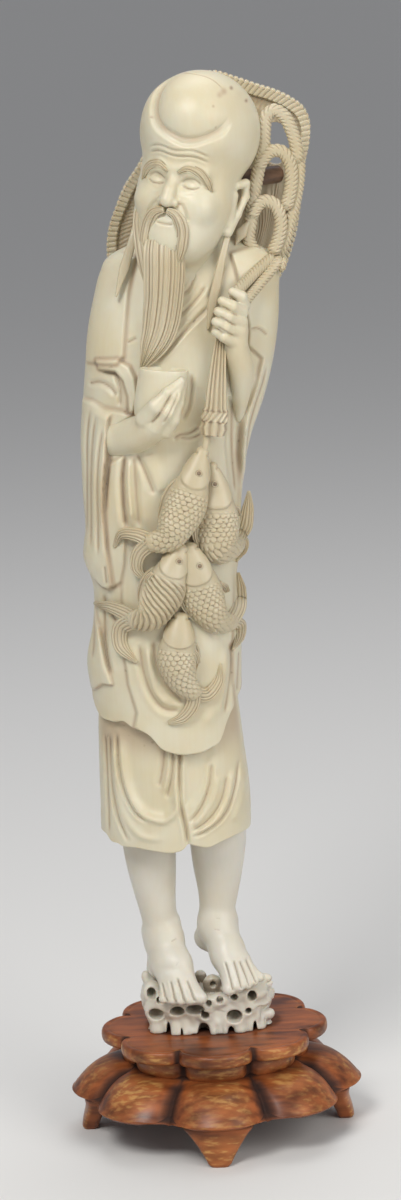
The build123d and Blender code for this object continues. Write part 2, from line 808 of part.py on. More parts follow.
# Rockwork: a low block with a step for the left foot, knobs at the back and drilled holes
rock_form = lofted(
    [
        (level(ROCK_X, ROCK_Y, deck_z), ROCK_HALF_WIDTH, ROCK_HALF_DEPTH),
        (
            level(ROCK_X, ROCK_Y, deck_z + ROCK_HEIGHT / 2),
            ROCK_HALF_WIDTH + ROCK_BELLY,
            ROCK_HALF_DEPTH + ROCK_BELLY,
        ),
        (level(ROCK_X, ROCK_Y, right_sole_z), ROCK_HALF_WIDTH, ROCK_HALF_DEPTH),
    ]
)
with BuildPart() as rock:
    add(rock_form)
    with BuildSketch(level(ROCK_STEP_X, ROCK_Y, deck_z + ROCK_HEIGHT / 2)):
        Ellipse(ROCK_STEP_HALF_WIDTH, ROCK_STEP_HALF_DEPTH)
    extrude(amount=ROCK_HEIGHT / 2 + ROCK_STEP_HEIGHT)
    for side in (-1, 1):
        with Locations((ROCK_X + side * ROCK_KNOB_SPREAD_X, ROCK_Y + ROCK_KNOB_Y, right_sole_z)):
            Sphere(ROCK_KNOB_RADIUS)
    with Locations(Plane(origin=(ROCK_X, 0, deck_z), x_dir=(1, 0, 0), z_dir=(0, -1, 0))):
        for column in (-2, -1, 0, 1, 2):
            low_hole = column % 2 == 0
            hole_radius = ROCK_HOLE_RADIUS if low_hole else ROCK_HOLE_SMALL_RADIUS
            hole_rise = ROCK_HOLE_LOW if low_hole else ROCK_HOLE_HIGH
            with Locations((column * ROCK_HOLE_PITCH, hole_rise)):
                Cylinder(hole_radius, 4 * ROCK_HALF_DEPTH, mode=Mode.SUBTRACT)
    for cutter in (*leg_parts.values(), *rock_holes, *sole_holes):
        add(cutter, mode=Mode.SUBTRACT)
save(rock.part, "rock_base")

# Trousers, with their main folds, and the peg that joins them to the robe
proud_trousers = garment(TROUSER_ROWS, trouser_hem_z, TROUSER_FOLD_HEIGHT)
sunk_trousers = garment(TROUSER_ROWS, trouser_hem_z, -TROUSER_FOLD_HEIGHT)
with BuildPart() as trouser_form:
    add(garment(TROUSER_ROWS, trouser_hem_z))
    for path in TROUSER_RIDGES:
        add(fold_prism(path, TROUSER_FOLD_WIDTH, trouser_hem_z) & proud_trousers)
    for path in TROUSER_VALLEYS:
        add(fold_prism(path, TROUSER_FOLD_WIDTH, trouser_hem_z) - sunk_trousers, mode=Mode.SUBTRACT)
    add(below_hem(TROUSER_HEM, trouser_hem_z), mode=Mode.SUBTRACT)
waist_peg, waist_peg_hole = peg_and_hole(
    (HEM_X, 0, trouser_top_z - WAIST_PEG_LENGTH / 2), (0, 0, 1), WAIST_PEG_LENGTH, WAIST_PEG_RADIUS
)
with BuildPart() as trousers:
    add(trouser_form.part)
    for cutter in (*leg_parts.values(), *leg_holes, waist_peg_hole):
        add(cutter, mode=Mode.SUBTRACT)
save(trousers.part, "trousers")
save(waist_peg, "waist_peg")

# Robe with its hanging sleeves and main folds, before any seat or socket is cut
thick_robe = garment(ROBE_ROWS, robe_hem_z, SLEEVE_PROUD)
thin_robe = garment(ROBE_ROWS, robe_hem_z, PANEL_PROUD)
folded_robe = garment(ROBE_ROWS, robe_hem_z, -FOLD_DEPTH)
opened_robe = garment(ROBE_ROWS, robe_hem_z, -OPENING_DEPTH)
with BuildPart() as robe_form:
    add(garment(ROBE_ROWS, robe_hem_z))
    for outline in THIN_AREAS.values():
        add(area_prism(outline, robe_hem_z) & thin_robe)
    for path in ROBE_FOLDS:
        add(fold_prism(path, FOLD_WIDTH, robe_hem_z) - folded_robe, mode=Mode.SUBTRACT)
    for outline in THICK_AREAS.values():
        add(area_prism(outline, robe_hem_z) & thick_robe)
    add(area_prism(SLEEVE_OPENING, robe_hem_z) - opened_robe, mode=Mode.SUBTRACT)
    add(below_hem(ROBE_HEM, robe_hem_z), mode=Mode.SUBTRACT)

# Head: a tall domed skull on its leaning axis, with neck, ears and a long beard
chin = Vector(HEAD_CHIN_X, HEAD_CHIN_Y, robe_z(HEAD_CHIN_RISE))
head_up = Vector(HEAD_LEAN_X, HEAD_LEAN_Y, HEAD_HEIGHT).normalized()
face_turn = math.radians(HEAD_TURN)
head_side = head_up.cross(Vector(-math.sin(face_turn), -math.cos(face_turn), 0)).normalized()
skull = lofted(
    [
        (Plane(origin=chin + head_up * height, x_dir=head_side, z_dir=head_up), radius, radius)
        for height, radius in (
            (0.0, CHIN_RADIUS),
            (JAW_HEIGHT, JAW_RADIUS),
            (CHEEK_HEIGHT, CHEEK_RADIUS),
            (DOME_HEIGHT, DOME_RADIUS),
            (CROWN_HEIGHT, CROWN_RADIUS),
            (HEAD_HEIGHT, CROWN_TIP_RADIUS),
        )
    ]
)
with BuildPart() as head_form:
    add(skull)
    for side in (-1, 1):
        ear_rows = (
            (LOBE_HEIGHT, LOBE_SPREAD, LOBE_HALF_DEPTH),
            (EAR_HEIGHT, EAR_SPREAD, EAR_HALF_DEPTH),
            (EAR_TOP_HEIGHT, EAR_TOP_SPREAD, EAR_HALF_DEPTH),
        )
        ear_sections = []
        for height, spread, half_depth in ear_rows:
            place = chin + head_up * height + head_side * side * spread
            ear_sections.append((Plane(origin=place, x_dir=head_side, z_dir=head_up), EAR_HALF_WIDTH, half_depth))
        add(lofted(ear_sections))
    add(rod((COLLAR_X, NECK_Y, robe_z(COLLAR_RISE) - NECK_LENGTH / 2), (0, 0, 1), NECK_LENGTH, NECK_RADIUS))

beard_tip_z = robe_z(BEARD_TIP_RISE)
beard_tip_y = robe_front(BEARD_TIP_X, beard_tip_z)
beard_form = lofted(
    [
        (level(BEARD_TIP_X, beard_tip_y, beard_tip_z), BEARD_TIP_HALF_WIDTH, BEARD_HALF_DEPTH),
        (level(BEARD_TURN_X, BEARD_Y, robe_z(BEARD_TURN_RISE)), BEARD_TURN_HALF_WIDTH, BEARD_HALF_DEPTH),
        (level(BEARD_MID_X, BEARD_Y, robe_z(BEARD_MID_RISE)), BEARD_HALF_WIDTH, BEARD_HALF_DEPTH),
        (level(BEARD_ROOT_X, BEARD_Y, robe_z(BEARD_ROOT_RISE)), BEARD_HALF_WIDTH, BEARD_HALF_DEPTH),
    ]
)
neck_peg, neck_peg_hole = peg_and_hole(
    (COLLAR_X, NECK_Y, robe_z(COLLAR_RISE) - NECK_LENGTH / 2 - NECK_PEG_LENGTH / 2),
    (0, 0, 1),
    NECK_PEG_LENGTH,
    NECK_PEG_RADIUS,
)

# Straw hat: an oval brim, sunk inside its border, with a low crown at the back, and its two pegs
hat_centre = (HAT_X, HAT_FRONT_Y, robe_z(HAT_RISE))
hat_lean = math.radians(HAT_LEAN)
hat_forwards = Vector(0, -math.cos(hat_lean), -math.sin(hat_lean))
hat_plane = Plane(origin=hat_centre, x_dir=(1, 0, 0), z_dir=hat_forwards)
hat_inner = [
    (across * (1 - HAT_BORDER / math.hypot(across, up)), up * (1 - HAT_BORDER / math.hypot(across, up)))
    for across, up in HAT_OUTLINE
]


def hat_sketch(plane, outline, share=1.0):
    """A smooth closed face through the hat's outline, drawn smaller by a share."""
    with BuildSketch(plane) as face:
        with BuildLine():
            Spline(*((across * share, up * share) for across, up in outline), periodic=True)
        make_face()
    return face.sketch


def hat_front(rise):
    """The y of the hat's front at a rise above the robe's hem."""
    return HAT_FRONT_Y + (HAT_RISE - rise) * math.tan(hat_lean)


hat_peg, hat_peg_hole = peg_and_hole(
    (COLLAR_X, hat_front(HAT_PEG_RISE) + HAT_THICKNESS, robe_z(HAT_PEG_RISE)),
    (0, -1, 0),
    HAT_PEG_LENGTH,
    HAT_PEG_RADIUS,
)
side_swing = math.radians(SIDE_PEG_SWING)
side_reach = hat_front(SIDE_PEG_RISE) + HAT_THICKNESS * SIDE_PEG_HAT_SHARE - SIDE_PEG_IN_HEAD_Y
side_peg, side_peg_hole = peg_and_hole(
    (SIDE_PEG_IN_HEAD_X, SIDE_PEG_IN_HEAD_Y, robe_z(SIDE_PEG_RISE)),
    (math.cos(side_swing), math.sin(side_swing), 0),
    side_reach / math.sin(side_swing),
    SIDE_PEG_RADIUS,
)
with BuildPart() as head:
    add(head_form.part)
    add(beard_form)
    for cutter in (side_peg_hole, neck_peg_hole, robe_form.part):
        add(cutter, mode=Mode.SUBTRACT)
save(head.part, "head")
save(neck_peg, "neck_peg")

hat_back_plane = hat_plane.offset(-HAT_THICKNESS)
crown_plane = hat_plane.offset(-HAT_THICKNESS - HAT_CROWN_HEIGHT)
with BuildPart() as hat_form:
    extrude(hat_sketch(hat_plane, HAT_OUTLINE), amount=-HAT_THICKNESS)
    extrude(hat_sketch(hat_plane, hat_inner), amount=-HAT_RECESS, mode=Mode.SUBTRACT)
    loft(
        [
            hat_sketch(hat_back_plane, HAT_OUTLINE, HAT_CROWN_FOOT_SHARE),
            hat_sketch(crown_plane, HAT_OUTLINE, HAT_CROWN_TOP_SHARE),
        ]
    )
with BuildPart() as hat:
    add(hat_form.part)
    for cutter in (robe_form.part, head_form.part, hat_peg_hole, side_peg_hole):
        add(cutter, mode=Mode.SUBTRACT)
save(hat.part, "straw_hat")
save(hat_peg, "hat_back_peg")
save(side_peg, "hat_side_peg")

# Wine cup in the right hand
with BuildPart() as cup_form:
    with BuildSketch(Plane(origin=(CUP_X, CUP_Y, robe_z(CUP_BASE_RISE)), x_dir=(1, 0, 0), z_dir=(0, -1, 0))):
        with BuildLine():
            Polyline((0, CUP_HEIGHT), (0, 0), (CUP_FOOT_RADIUS, 0))
            SagittaArc((CUP_FOOT_RADIUS, 0), (CUP_RIM_RADIUS, CUP_HEIGHT), -CUP_WALL)
            Line((CUP_RIM_RADIUS, CUP_HEIGHT), (0, CUP_HEIGHT))
        make_face()
    revolve(axis=Axis((CUP_X, CUP_Y, 0), (0, 0, 1)))
with BuildPart() as cup:
    add(cup_form.part)
    with Locations((CUP_X, CUP_Y, robe_z(CUP_BASE_RISE) + CUP_HEIGHT)):
        Cylinder(CUP_RIM_RADIUS - CUP_WALL, 2 * CUP_HOLLOW_DEPTH, mode=Mode.SUBTRACT)
    add(robe_form.part, mode=Mode.SUBTRACT)
save(cup.part, "wine_cup")

# Hands: each forearm is pegged into its sleeve
right_elbow = (RIGHT_ELBOW_X, RIGHT_ELBOW_Y, robe_z(RIGHT_ELBOW_RISE))
right_wrist = (RIGHT_WRIST_X, RIGHT_WRIST_Y, robe_z(RIGHT_WRIST_RISE))
right_hand_form = limb(
    [
        right_elbow,
        right_wrist,
        (RIGHT_PALM_X, RIGHT_PALM_Y, robe_z(RIGHT_PALM_RISE)),
        (RIGHT_TIPS_X, RIGHT_TIPS_Y, robe_z(RIGHT_TIPS_RISE)),
    ],
    [
        (FOREARM_RADIUS, FOREARM_RADIUS),
        (WRIST_RADIUS, WRIST_RADIUS),
        (PALM_HALF_WIDTH, PALM_HALF_DEPTH),
        (TIPS_HALF_WIDTH, TIPS_HALF_DEPTH),
    ],
)
left_elbow = (LEFT_ELBOW_X, LEFT_ELBOW_Y, robe_z(LEFT_ELBOW_RISE))
left_wrist = (LEFT_WRIST_X, LEFT_WRIST_Y, robe_z(LEFT_WRIST_RISE))
left_hand_form = limb(
    [
        left_elbow,
        left_wrist,
        (FIST_X, FIST_Y, robe_z(FIST_RISE)),
        (FIST_X, FIST_Y, robe_z(FIST_TOP_RISE)),
    ],
    [
        (LEFT_FOREARM_RADIUS, LEFT_FOREARM_RADIUS),
        (LEFT_WRIST_RADIUS, LEFT_WRIST_RADIUS),
        (FIST_HALF_WIDTH, FIST_HALF_DEPTH),
        (FIST_HALF_WIDTH, FIST_HALF_DEPTH),
    ],
)
wrist_pegs = []
wrist_holes = []
for elbow, wrist in ((right_elbow, right_wrist), (left_elbow, left_wrist)):
    up_arm = Vector(*elbow) - Vector(*wrist)
    peg_start = tuple((Vector(*elbow) + Vector(*wrist)) / 2)
    wrist_peg, wrist_hole = peg_and_hole(peg_start, tuple(up_arm), WRIST_PEG_LENGTH, WRIST_PEG_RADIUS)
    wrist_pegs.append(wrist_peg)
    wrist_holes.append(wrist_hole)
with BuildPart() as wrist_peg_group:
    for peg in wrist_pegs:
        add(peg)
save(wrist_peg_group.part, "wrist_pegs")

with BuildPart() as right_hand:
    add(right_hand_form)
    for cutter in (robe_form.part, cup_form.part, wrist_holes[0]):
        add(cutter, mode=Mode.SUBTRACT)
save(right_hand.part, "right_hand")

# Looped rope beside the head: a pierced strand with a stem that runs down through the fist
loop_foot = Vector(LOOP_FOOT_X, LOOP_PLANE_Y, robe_z(LOOP_FOOT_RISE))
stem_foot = Vector(STEM_FOOT_X, STEM_FOOT_Y, robe_z(STEM_FOOT_RISE))
stem_way = stem_foot - loop_foot
loop_plane = Plane(origin=loop_foot, x_dir=(1, 0, 0), z_dir=(0, -1, 0))
loop_rows = [
    (LOOP_LOW_SHARE * LOOP_HEIGHT, LOOP_LOW_LEFT, LOOP_LOW_RIGHT, LOOP_HOLE_HALF_HEIGHT),
    (LOOP_MIDDLE_SHARE * LOOP_HEIGHT, LOOP_MIDDLE_LEFT, LOOP_MIDDLE_RIGHT, LOOP_HOLE_HALF_HEIGHT),
    (LOOP_HIGH_SHARE * LOOP_HEIGHT, LOOP_HIGH_LEFT, LOOP_HIGH_RIGHT, LOOP_TOP_HOLE_HALF_HEIGHT),
]
loop_top_height = LOOP_TOP_SHARE * LOOP_HEIGHT
loop_right_side = [(right, height) for height, _, right, _ in loop_rows]
loop_left_side = [(left, height) for height, left, _, _ in reversed(loop_rows)]
with BuildPart() as loops_form:
    with BuildSketch(loop_plane):
        with BuildLine():
            Spline(
                (0, 0),
                *loop_right_side,
                (LOOP_TOP_RIGHT, loop_top_height),
                ((LOOP_TOP_LEFT + LOOP_TOP_RIGHT) / 2, LOOP_HEIGHT),
                (LOOP_TOP_LEFT, loop_top_height),
                *loop_left_side,
                periodic=True,
            )
        make_face()
        for height, left, right, half_height in loop_rows:
            with Locations(((left + right) / 2, height)):
                Ellipse((right - left) / 2 - LOOP_STRAND, half_height, mode=Mode.SUBTRACT)
    extrude(amount=LOOP_THICKNESS / 2, both=True)
    add(rod(tuple(loop_foot), tuple(stem_way), stem_way.length, STEM_RADIUS))
with BuildPart() as loops:
    add(loops_form.part)
    for cutter in (robe_form.part, head_form.part, hat_form.part, side_peg_hole):
        add(cutter, mode=Mode.SUBTRACT)
save(loops.part, "rope_loops")

tassel_end = Vector(TASSEL_END_X, STEM_FOOT_Y, stem_foot.Z - TASSEL_LENGTH)
band_z = tassel_end.Z + BAND_RISE
band_x = TASSEL_END_X + (STEM_FOOT_X - TASSEL_END_X) * BAND_RISE / TASSEL_LENGTH
with BuildPart() as tassel_form:
    for x, z, half_width in (
        (STEM_FOOT_X, stem_foot.Z, TASSEL_TOP_HALF_WIDTH),
        (TASSEL_END_X, tassel_end.Z, TASSEL_END_HALF_WIDTH),
    ):
        with BuildSketch(level(x, STEM_FOOT_Y, z)):
            RectangleRounded(2 * half_width, 2 * TASSEL_HALF_DEPTH, TASSEL_HALF_DEPTH / 2)
    loft()
    with BuildSketch(level(band_x, STEM_FOOT_Y, band_z)):
        RectangleRounded(
            2 * (TASSEL_END_HALF_WIDTH + BAND_PROUD), 2 * (TASSEL_HALF_DEPTH + BAND_PROUD), TASSEL_HALF_DEPTH / 2
        )
    extrude(amount=BAND_HEIGHT)
with BuildPart() as tassel:
    add(tassel_form.part)
    for cutter in (robe_form.part, loops_form.part):
        add(cutter, mode=Mode.SUBTRACT)
save(tassel.part, "rope_tassel")

with BuildPart() as left_hand:
    add(left_hand_form)
    for cutter in (robe_form.part, loops_form.part, tassel_form.part, wrist_holes[1]):
        add(cutter, mode=Mode.SUBTRACT)
save(left_hand.part, "left_hand")


# Carp: a curved body that swells behind the gills, with a forked tail
def on_robe(place):
    """A point just proud of the robe's front, from its x and its rise above the hem."""
    x, rise = place
    z = robe_z(rise)
    return Vector(x, robe_front(x, z) - FISH_STAND_OFF, z)


def fish_point(mouth, tail, bend, share):
    """A point along a fish's curved middle line, from mouth to tail root."""
    along = (tail[0] - mouth[0], tail[1] - mouth[1])
    length = math.hypot(*along)
    bow = 4 * bend * share * (1 - share) / length
    x = mouth[0] + along[0] * share - along[1] * bow
    rise = mouth[1] + along[1] * share + along[0] * bow
    return on_robe((x, rise))


def fish_form(mouth, tail, bend, fins):
    """The whole fish, partly sunk in the robe."""
    stations = (
        (0.0, FISH_NOSE_HALF_WIDTH),
        (0.25, FISH_GILL_HALF_WIDTH),
        (0.5, FISH_HALF_WIDTH),
        (0.78, FISH_GILL_HALF_WIDTH),
        (1.0, FISH_ROOT_HALF_WIDTH),
    )
    points = [fish_point(mouth, tail, bend, share) for share, _ in stations]
    depth_share = FISH_HALF_DEPTH / FISH_HALF_WIDTH
    trunk = limb([tuple(p) for p in points], [(width, width * depth_share) for _, width in stations])
    root = points[-1]
    with BuildPart() as fish:
        add(trunk)
        for fin in fins:
            tip = on_robe(fin)
            middle = (root + tip) / 2
            add(
                limb(
                    [tuple(root - (tip - root) * 0.2), tuple(middle), tuple(tip)],
                    [
                        (FISH_ROOT_HALF_WIDTH, FISH_FIN_HALF_DEPTH),
                        (FISH_FIN_HALF_WIDTH, FISH_FIN_HALF_DEPTH),
                        (FISH_FIN_HALF_WIDTH / 2, FISH_FIN_HALF_DEPTH),
                    ],
                )
            )
    return fish.part


FISH = {
    "fish_upper_left": (UPPER_LEFT_MOUTH, UPPER_LEFT_TAIL, UPPER_LEFT_BEND, UPPER_LEFT_FINS, True),
    "fish_upper_right": (UPPER_RIGHT_MOUTH, UPPER_RIGHT_TAIL, UPPER_RIGHT_BEND, UPPER_RIGHT_FINS, True),
    "fish_middle_left": (MIDDLE_LEFT_MOUTH, MIDDLE_LEFT_TAIL, MIDDLE_LEFT_BEND, MIDDLE_LEFT_FINS, True),
    "fish_middle_right": (MIDDLE_RIGHT_MOUTH, MIDDLE_RIGHT_TAIL, MIDDLE_RIGHT_BEND, MIDDLE_RIGHT_FINS, True),
    "fish_lower": (LOWER_MOUTH, LOWER_TAIL, LOWER_BEND, LOWER_FINS, False),
}
fish_pegs = []
fish_holes = []
fish_eyes = []
fish_above = []
mouth_point = fish_point(UPPER_LEFT_MOUTH, UPPER_LEFT_TAIL, UPPER_LEFT_BEND, 0)
cord_start = Vector(TASSEL_END_X, STEM_FOOT_Y, tassel_end.Z)
cord_way = mouth_point - cord_start
for fish_name, (mouth, tail, bend, fins, has_eye) in FISH.items():
    form = fish_form(mouth, tail, bend, fins)
    middle = fish_point(mouth, tail, bend, 0.5)
    fish_peg, fish_hole = peg_and_hole(tuple(middle), (0, 1, 0), FISH_PEG_LENGTH, FISH_PEG_RADIUS)
    fish_pegs.append(fish_peg)
    fish_holes.append(fish_hole)
    eye_way = fish_point(mouth, tail, bend, EYE_ALONG)
    eye_rod = rod(tuple(eye_way), (0, -1, 0), 2 * FISH_HALF_DEPTH, EYE_RADIUS)
    with BuildPart() as whole_fish:
        add(form)
        for cutter in (robe_form.part, tassel_form.part, *fish_above):
            add(cutter, mode=Mode.SUBTRACT)
    with BuildPart() as fish:
        add(whole_fish.part)
        add(fish_hole, mode=Mode.SUBTRACT)
        if has_eye:
            add(eye_rod, mode=Mode.SUBTRACT)
    save(fish.part, fish_name)
    if has_eye:
        with BuildPart() as eye:
            add(eye_rod)
            add(whole_fish.part, mode=Mode.INTERSECT)
        fish_eyes.append(eye.part)
    fish_above.append(form)

with BuildPart() as fish_peg_group:
    for peg in fish_pegs:
        add(peg)
save(fish_peg_group.part, "fish_pegs")

with BuildPart() as fish_eye_group:
    for eye_part in fish_eyes:
        add(eye_part)
save(fish_eye_group.part, "fish_eyes")

with BuildPart() as cord:
    add(rod(tuple(cord_start), tuple(cord_way), cord_way.length, CORD_RADIUS))
    for cutter in (tassel_form.part, robe_form.part, *fish_above):
        add(cutter, mode=Mode.SUBTRACT)
save(cord.part, "fish_cord")

# The robe last, with its seats and sockets
with BuildPart() as robe:
    add(robe_form.part)
    for cutter in (trouser_form.part, waist_peg_hole, neck_peg_hole, hat_peg_hole, *wrist_holes, *fish_holes):
        add(cutter, mode=Mode.SUBTRACT)
save(robe.part, "robe")
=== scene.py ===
import math

import bpy
import numpy as np
from mathutils import Matrix, Vector


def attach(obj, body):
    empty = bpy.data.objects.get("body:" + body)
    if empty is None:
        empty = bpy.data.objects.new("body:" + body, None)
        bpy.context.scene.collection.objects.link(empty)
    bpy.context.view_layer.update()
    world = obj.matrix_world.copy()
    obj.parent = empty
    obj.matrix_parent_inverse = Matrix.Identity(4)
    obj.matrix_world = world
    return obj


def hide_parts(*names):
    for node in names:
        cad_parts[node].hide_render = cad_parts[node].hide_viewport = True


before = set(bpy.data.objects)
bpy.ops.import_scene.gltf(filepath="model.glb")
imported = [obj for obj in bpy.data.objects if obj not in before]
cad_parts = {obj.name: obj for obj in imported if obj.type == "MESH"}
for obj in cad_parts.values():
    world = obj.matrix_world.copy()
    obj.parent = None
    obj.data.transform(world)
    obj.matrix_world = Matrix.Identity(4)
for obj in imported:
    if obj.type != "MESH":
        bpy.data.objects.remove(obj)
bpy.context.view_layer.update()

# Shapes are worked out in millimetres, in the shared frame, and written in metres.
MM = 0.001
VOXEL = 0.3
GRID = 1.0

# Stand: heights of its tiers, reach and lobe radius of each, and the sockets for the rock's two pegs
APRON_Z = 10.5
WAIST_Z = 19.3
TOP_Z = 24.5
DECK_Z = 28.0
PETALS = 8
APRON_REACH, APRON_LOBE = 39.0, 14.5
WAIST_REACH, WAIST_LOBE = 24.5, 11.0
TOP_REACH, TOP_LOBE = 30.5, 12.0
TOP_ROUND = 1.5
TOP_SEAM = 0.7
MIDDLE_REACH = 2.0
SOCKET_DEPTH = 2.5
ROCK_PEG_X = -1.2
ROCK_PEG_Y = -0.4
ROCK_PEG_SPREAD = 9.3
ROCK_PEG_RADIUS = 1.5
ROCK_PEG_DEPTH = 2.4


# Small numeric helpers


def grid_count(count, least=0.5):
    return int(count * max(GRID, least))


def signed_power(value, power):
    """A power of the size of a value, with the value's own sign."""
    return np.sign(value) * np.abs(value) ** power


def smooth(value, low, high):
    """0 below low, 1 above high, and a smooth S between them."""
    t = np.clip((value - low) / (high - low), 0.0, 1.0)
    return t * t * (3 - 2 * t)


def along(table, at, column):
    """A smooth curve through one column of a table whose first column is the place."""
    table = np.asarray(table, float)
    x, y = table[:, 0], table[:, column]
    if x[0] > x[-1]:
        x, y = x[::-1], y[::-1]
    slope = np.gradient(y, x)
    i = np.clip(np.searchsorted(x, at) - 1, 0, len(x) - 2)
    h = x[i + 1] - x[i]
    t = np.clip((at - x[i]) / h, 0, 1)
    return (
        (1 + 2 * t) * (1 - t) ** 2 * y[i]
        + t * (1 - t) ** 2 * h * slope[i]
        + t * t * (3 - 2 * t) * y[i + 1]
        + t * t * (t - 1) * h * slope[i + 1]
    )


def spread(values, at):
    """A smooth curve through values that lie evenly between 0 and 1."""
    return along(np.column_stack([np.linspace(0, 1, len(values)), values]), at, 1)


def straight(values, at):
    """A broken line through values that lie evenly between 0 and 1."""
    return np.interp(at, np.linspace(0, 1, len(values)), values)


def curve(points, count):
    """A smooth path of evenly spread points through a few given ones."""
    points = np.asarray(points, float)
    steps = np.linalg.norm(np.diff(points, axis=0), axis=1)
    place = np.concatenate([[0], np.cumsum(steps)])
    at = np.linspace(0, place[-1], count)
    return np.stack(
        [along(np.column_stack([place, points[:, k]]), at, 1) for k in range(points.shape[1])], -1,
    )


def unit(v):
    """Vectors scaled to length one."""
    return v / np.maximum(np.linalg.norm(v, axis=-1, keepdims=True), 1e-9)


def noise(points, size, seed=0):
    """Soft lumps between -1 and 1: a sum of sines in fixed random directions."""
    rng = np.random.default_rng(seed)
    total = np.zeros(points.shape[:-1])
    for _ in range(9):
        way = unit(rng.normal(size=3)) * rng.uniform(0.7, 1.6)
        total += np.sin(points @ way * (2 * math.pi / size) + rng.uniform(0, 6.3))
    return total / 4.5


def path_distance(places, path):
    """Distance from 2-D places to a path, which side of it they lie on, and how far along it (0 to 1)."""
    path = np.asarray(path, float)
    best = np.full(places.shape[:-1], 1e9)
    side = np.zeros(places.shape[:-1])
    share = np.zeros(places.shape[:-1])
    for i in range(len(path) - 1):
        a, d = path[i], path[i + 1] - path[i]
        t = np.clip(((places - a) @ d) / (d @ d), 0, 1)
        off = places - a - t[..., None] * d
        dist = np.hypot(off[..., 0], off[..., 1])
        near = dist < best
        best = np.where(near, dist, best)
        side = np.where(near, d[0] * off[..., 1] - d[1] * off[..., 0], side)
        share = np.where(near, (i + t) / (len(path) - 1), share)
    return best, np.sign(side), share


def inside_distance(places, outline):
    """Signed distance to a closed 2-D outline, positive inside."""
    outline = np.asarray(outline, float)
    dist, _, _ = path_distance(places, np.vstack([outline, outline[:1]]))
    inside = np.zeros(places.shape[:-1], bool)
    x, y = places[..., 0], places[..., 1]
    for (x0, y0), (x1, y1) in zip(outline, np.roll(outline, -1, axis=0)):
        crosses = (y0 > y) != (y1 > y)
        with np.errstate(divide="ignore", invalid="ignore"):
            inside ^= crosses & (x < (x1 - x0) * (y - y0) / (y1 - y0) + x0)
    return np.where(inside, dist, -dist)


# Meshes


def add_mesh(name, points, faces, body, material, nodes=(), slot=None, stain=None):
    """Makes one piece from points in millimetres and arrays of three or four corners each."""
    points = np.asarray(points, float).reshape(-1, 3)
    mesh = bpy.data.meshes.new(name)
    corners = np.concatenate([f.ravel() for f in faces])
    sizes = np.concatenate([np.full(len(f), f.shape[1]) for f in faces])
    mesh.vertices.add(len(points))
    mesh.vertices.foreach_set("co", (points * MM).astype(np.float32).ravel())
    mesh.loops.add(len(corners))
    mesh.loops.foreach_set("vertex_index", corners.astype(np.int32))
    mesh.polygons.add(len(sizes))
    mesh.polygons.foreach_set("loop_start", np.concatenate([[0], np.cumsum(sizes)[:-1]]).astype(np.int32))
    mesh.polygons.foreach_set("loop_total", sizes.astype(np.int32))
    mesh.update(calc_edges=True)
    mesh.polygons.foreach_set("use_smooth", np.ones(len(sizes), bool))
    # Stain attribute: above zero darker, for stain in the cuts and for painted shade; below zero worn or
    # rubbed, and on the apron's rim a painted highlight.
    layer = mesh.attributes.new("stain", "FLOAT", "POINT")
    values = np.zeros(len(points)) if stain is None else np.clip(np.asarray(stain).ravel(), -1, 1)
    layer.data.foreach_set("value", values.astype(np.float32))
    piece = bpy.data.objects.new(name, mesh)
    bpy.context.scene.collection.objects.link(piece)
    piece.data.materials.append(material)
    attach(piece, body)
    if nodes:
        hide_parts(*nodes)
    return piece


def tube_faces(rows, columns):
    """Faces of a surface of rows by columns that closes around, with a fan to an extra point at each end."""
    row, column = np.meshgrid(np.arange(rows - 1), np.arange(columns), indexing="ij")
    here = row * columns + column
    beside = row * columns + (column + 1) % columns
    sides = np.stack([here, beside, beside + columns, here + columns], -1).reshape(-1, 4)
    ring = np.arange(columns)
    first, last = rows * columns, rows * columns + 1
    low = np.stack([np.full(columns, first), (ring + 1) % columns, ring], -1)
    top = (rows - 1) * columns
    high = np.stack([np.full(columns, last), top + ring, top + (ring + 1) % columns], -1)
    return [sides, np.vstack([low, high])]


def with_ends(rings):
    """The points of a closed-around surface, and the middle of its first and last ring."""
    return np.vstack([rings.reshape(-1, 3), rings[0].mean(0), rings[-1].mean(0)])


def ring_normals(rings):
    """Outward normals of a surface that closes around."""
    along_rows = np.gradient(rings, axis=0)
    around = (np.roll(rings, -1, axis=1) - np.roll(rings, 1, axis=1)) / 2
    return unit(np.cross(around, along_rows))


def cavity(values, reach):
    """How far each value lies below its neighbours on a surface that closes around."""
    mean = values.copy()
    for _ in range(reach):
        mean = (np.roll(mean, 1, 1) + np.roll(mean, -1, 1) + 2 * mean) / 4
        padded = np.pad(mean, ((1, 1), (0, 0)), mode="edge")
        mean = (padded[:-2] + padded[2:] + 2 * mean) / 4
    return mean - values


def add_tube(name, rings, *args, stain=None, **kwargs):
    """A closed piece from rings of points, with a stain value for each point."""
    rows, columns = rings.shape[:2]
    if stain is not None:
        stain = np.concatenate([np.ravel(stain), [stain[0].mean(), stain[-1].mean()]])
    return add_mesh(name, with_ends(rings), tube_faces(rows, columns), *args, stain=stain, **kwargs)


def sweep(path, half_width, half_depth, columns, front=(0, -1, 0), power=2.0):
    """Rings of a tube along a path: half_width lies across the path and half_depth faces front."""
    path = np.asarray(path, float)
    way = unit(np.gradient(path, axis=0))
    across = unit(np.cross(way, np.asarray(front, float)))
    facing = unit(np.cross(across, way))
    turn = np.linspace(0, 2 * math.pi, columns, endpoint=False)
    c, s = np.cos(turn), np.sin(turn)
    c, s = signed_power(c, 2 / power), signed_power(s, 2 / power)
    w = np.broadcast_to(np.asarray(half_width, float), len(path))[:, None, None]
    d = np.broadcast_to(np.asarray(half_depth, float), len(path))[:, None, None]
    sideways = across[:, None] * w * s[None, :, None]
    forward = facing[:, None] * d * c[None, :, None]
    return path[:, None] + sideways + forward, turn


# Carved strokes: short paths in the front view that push a surface in or out

STROKE_STEPS = 24
LIP_EDGE = 0.5
LIP_STAIN = 0.7


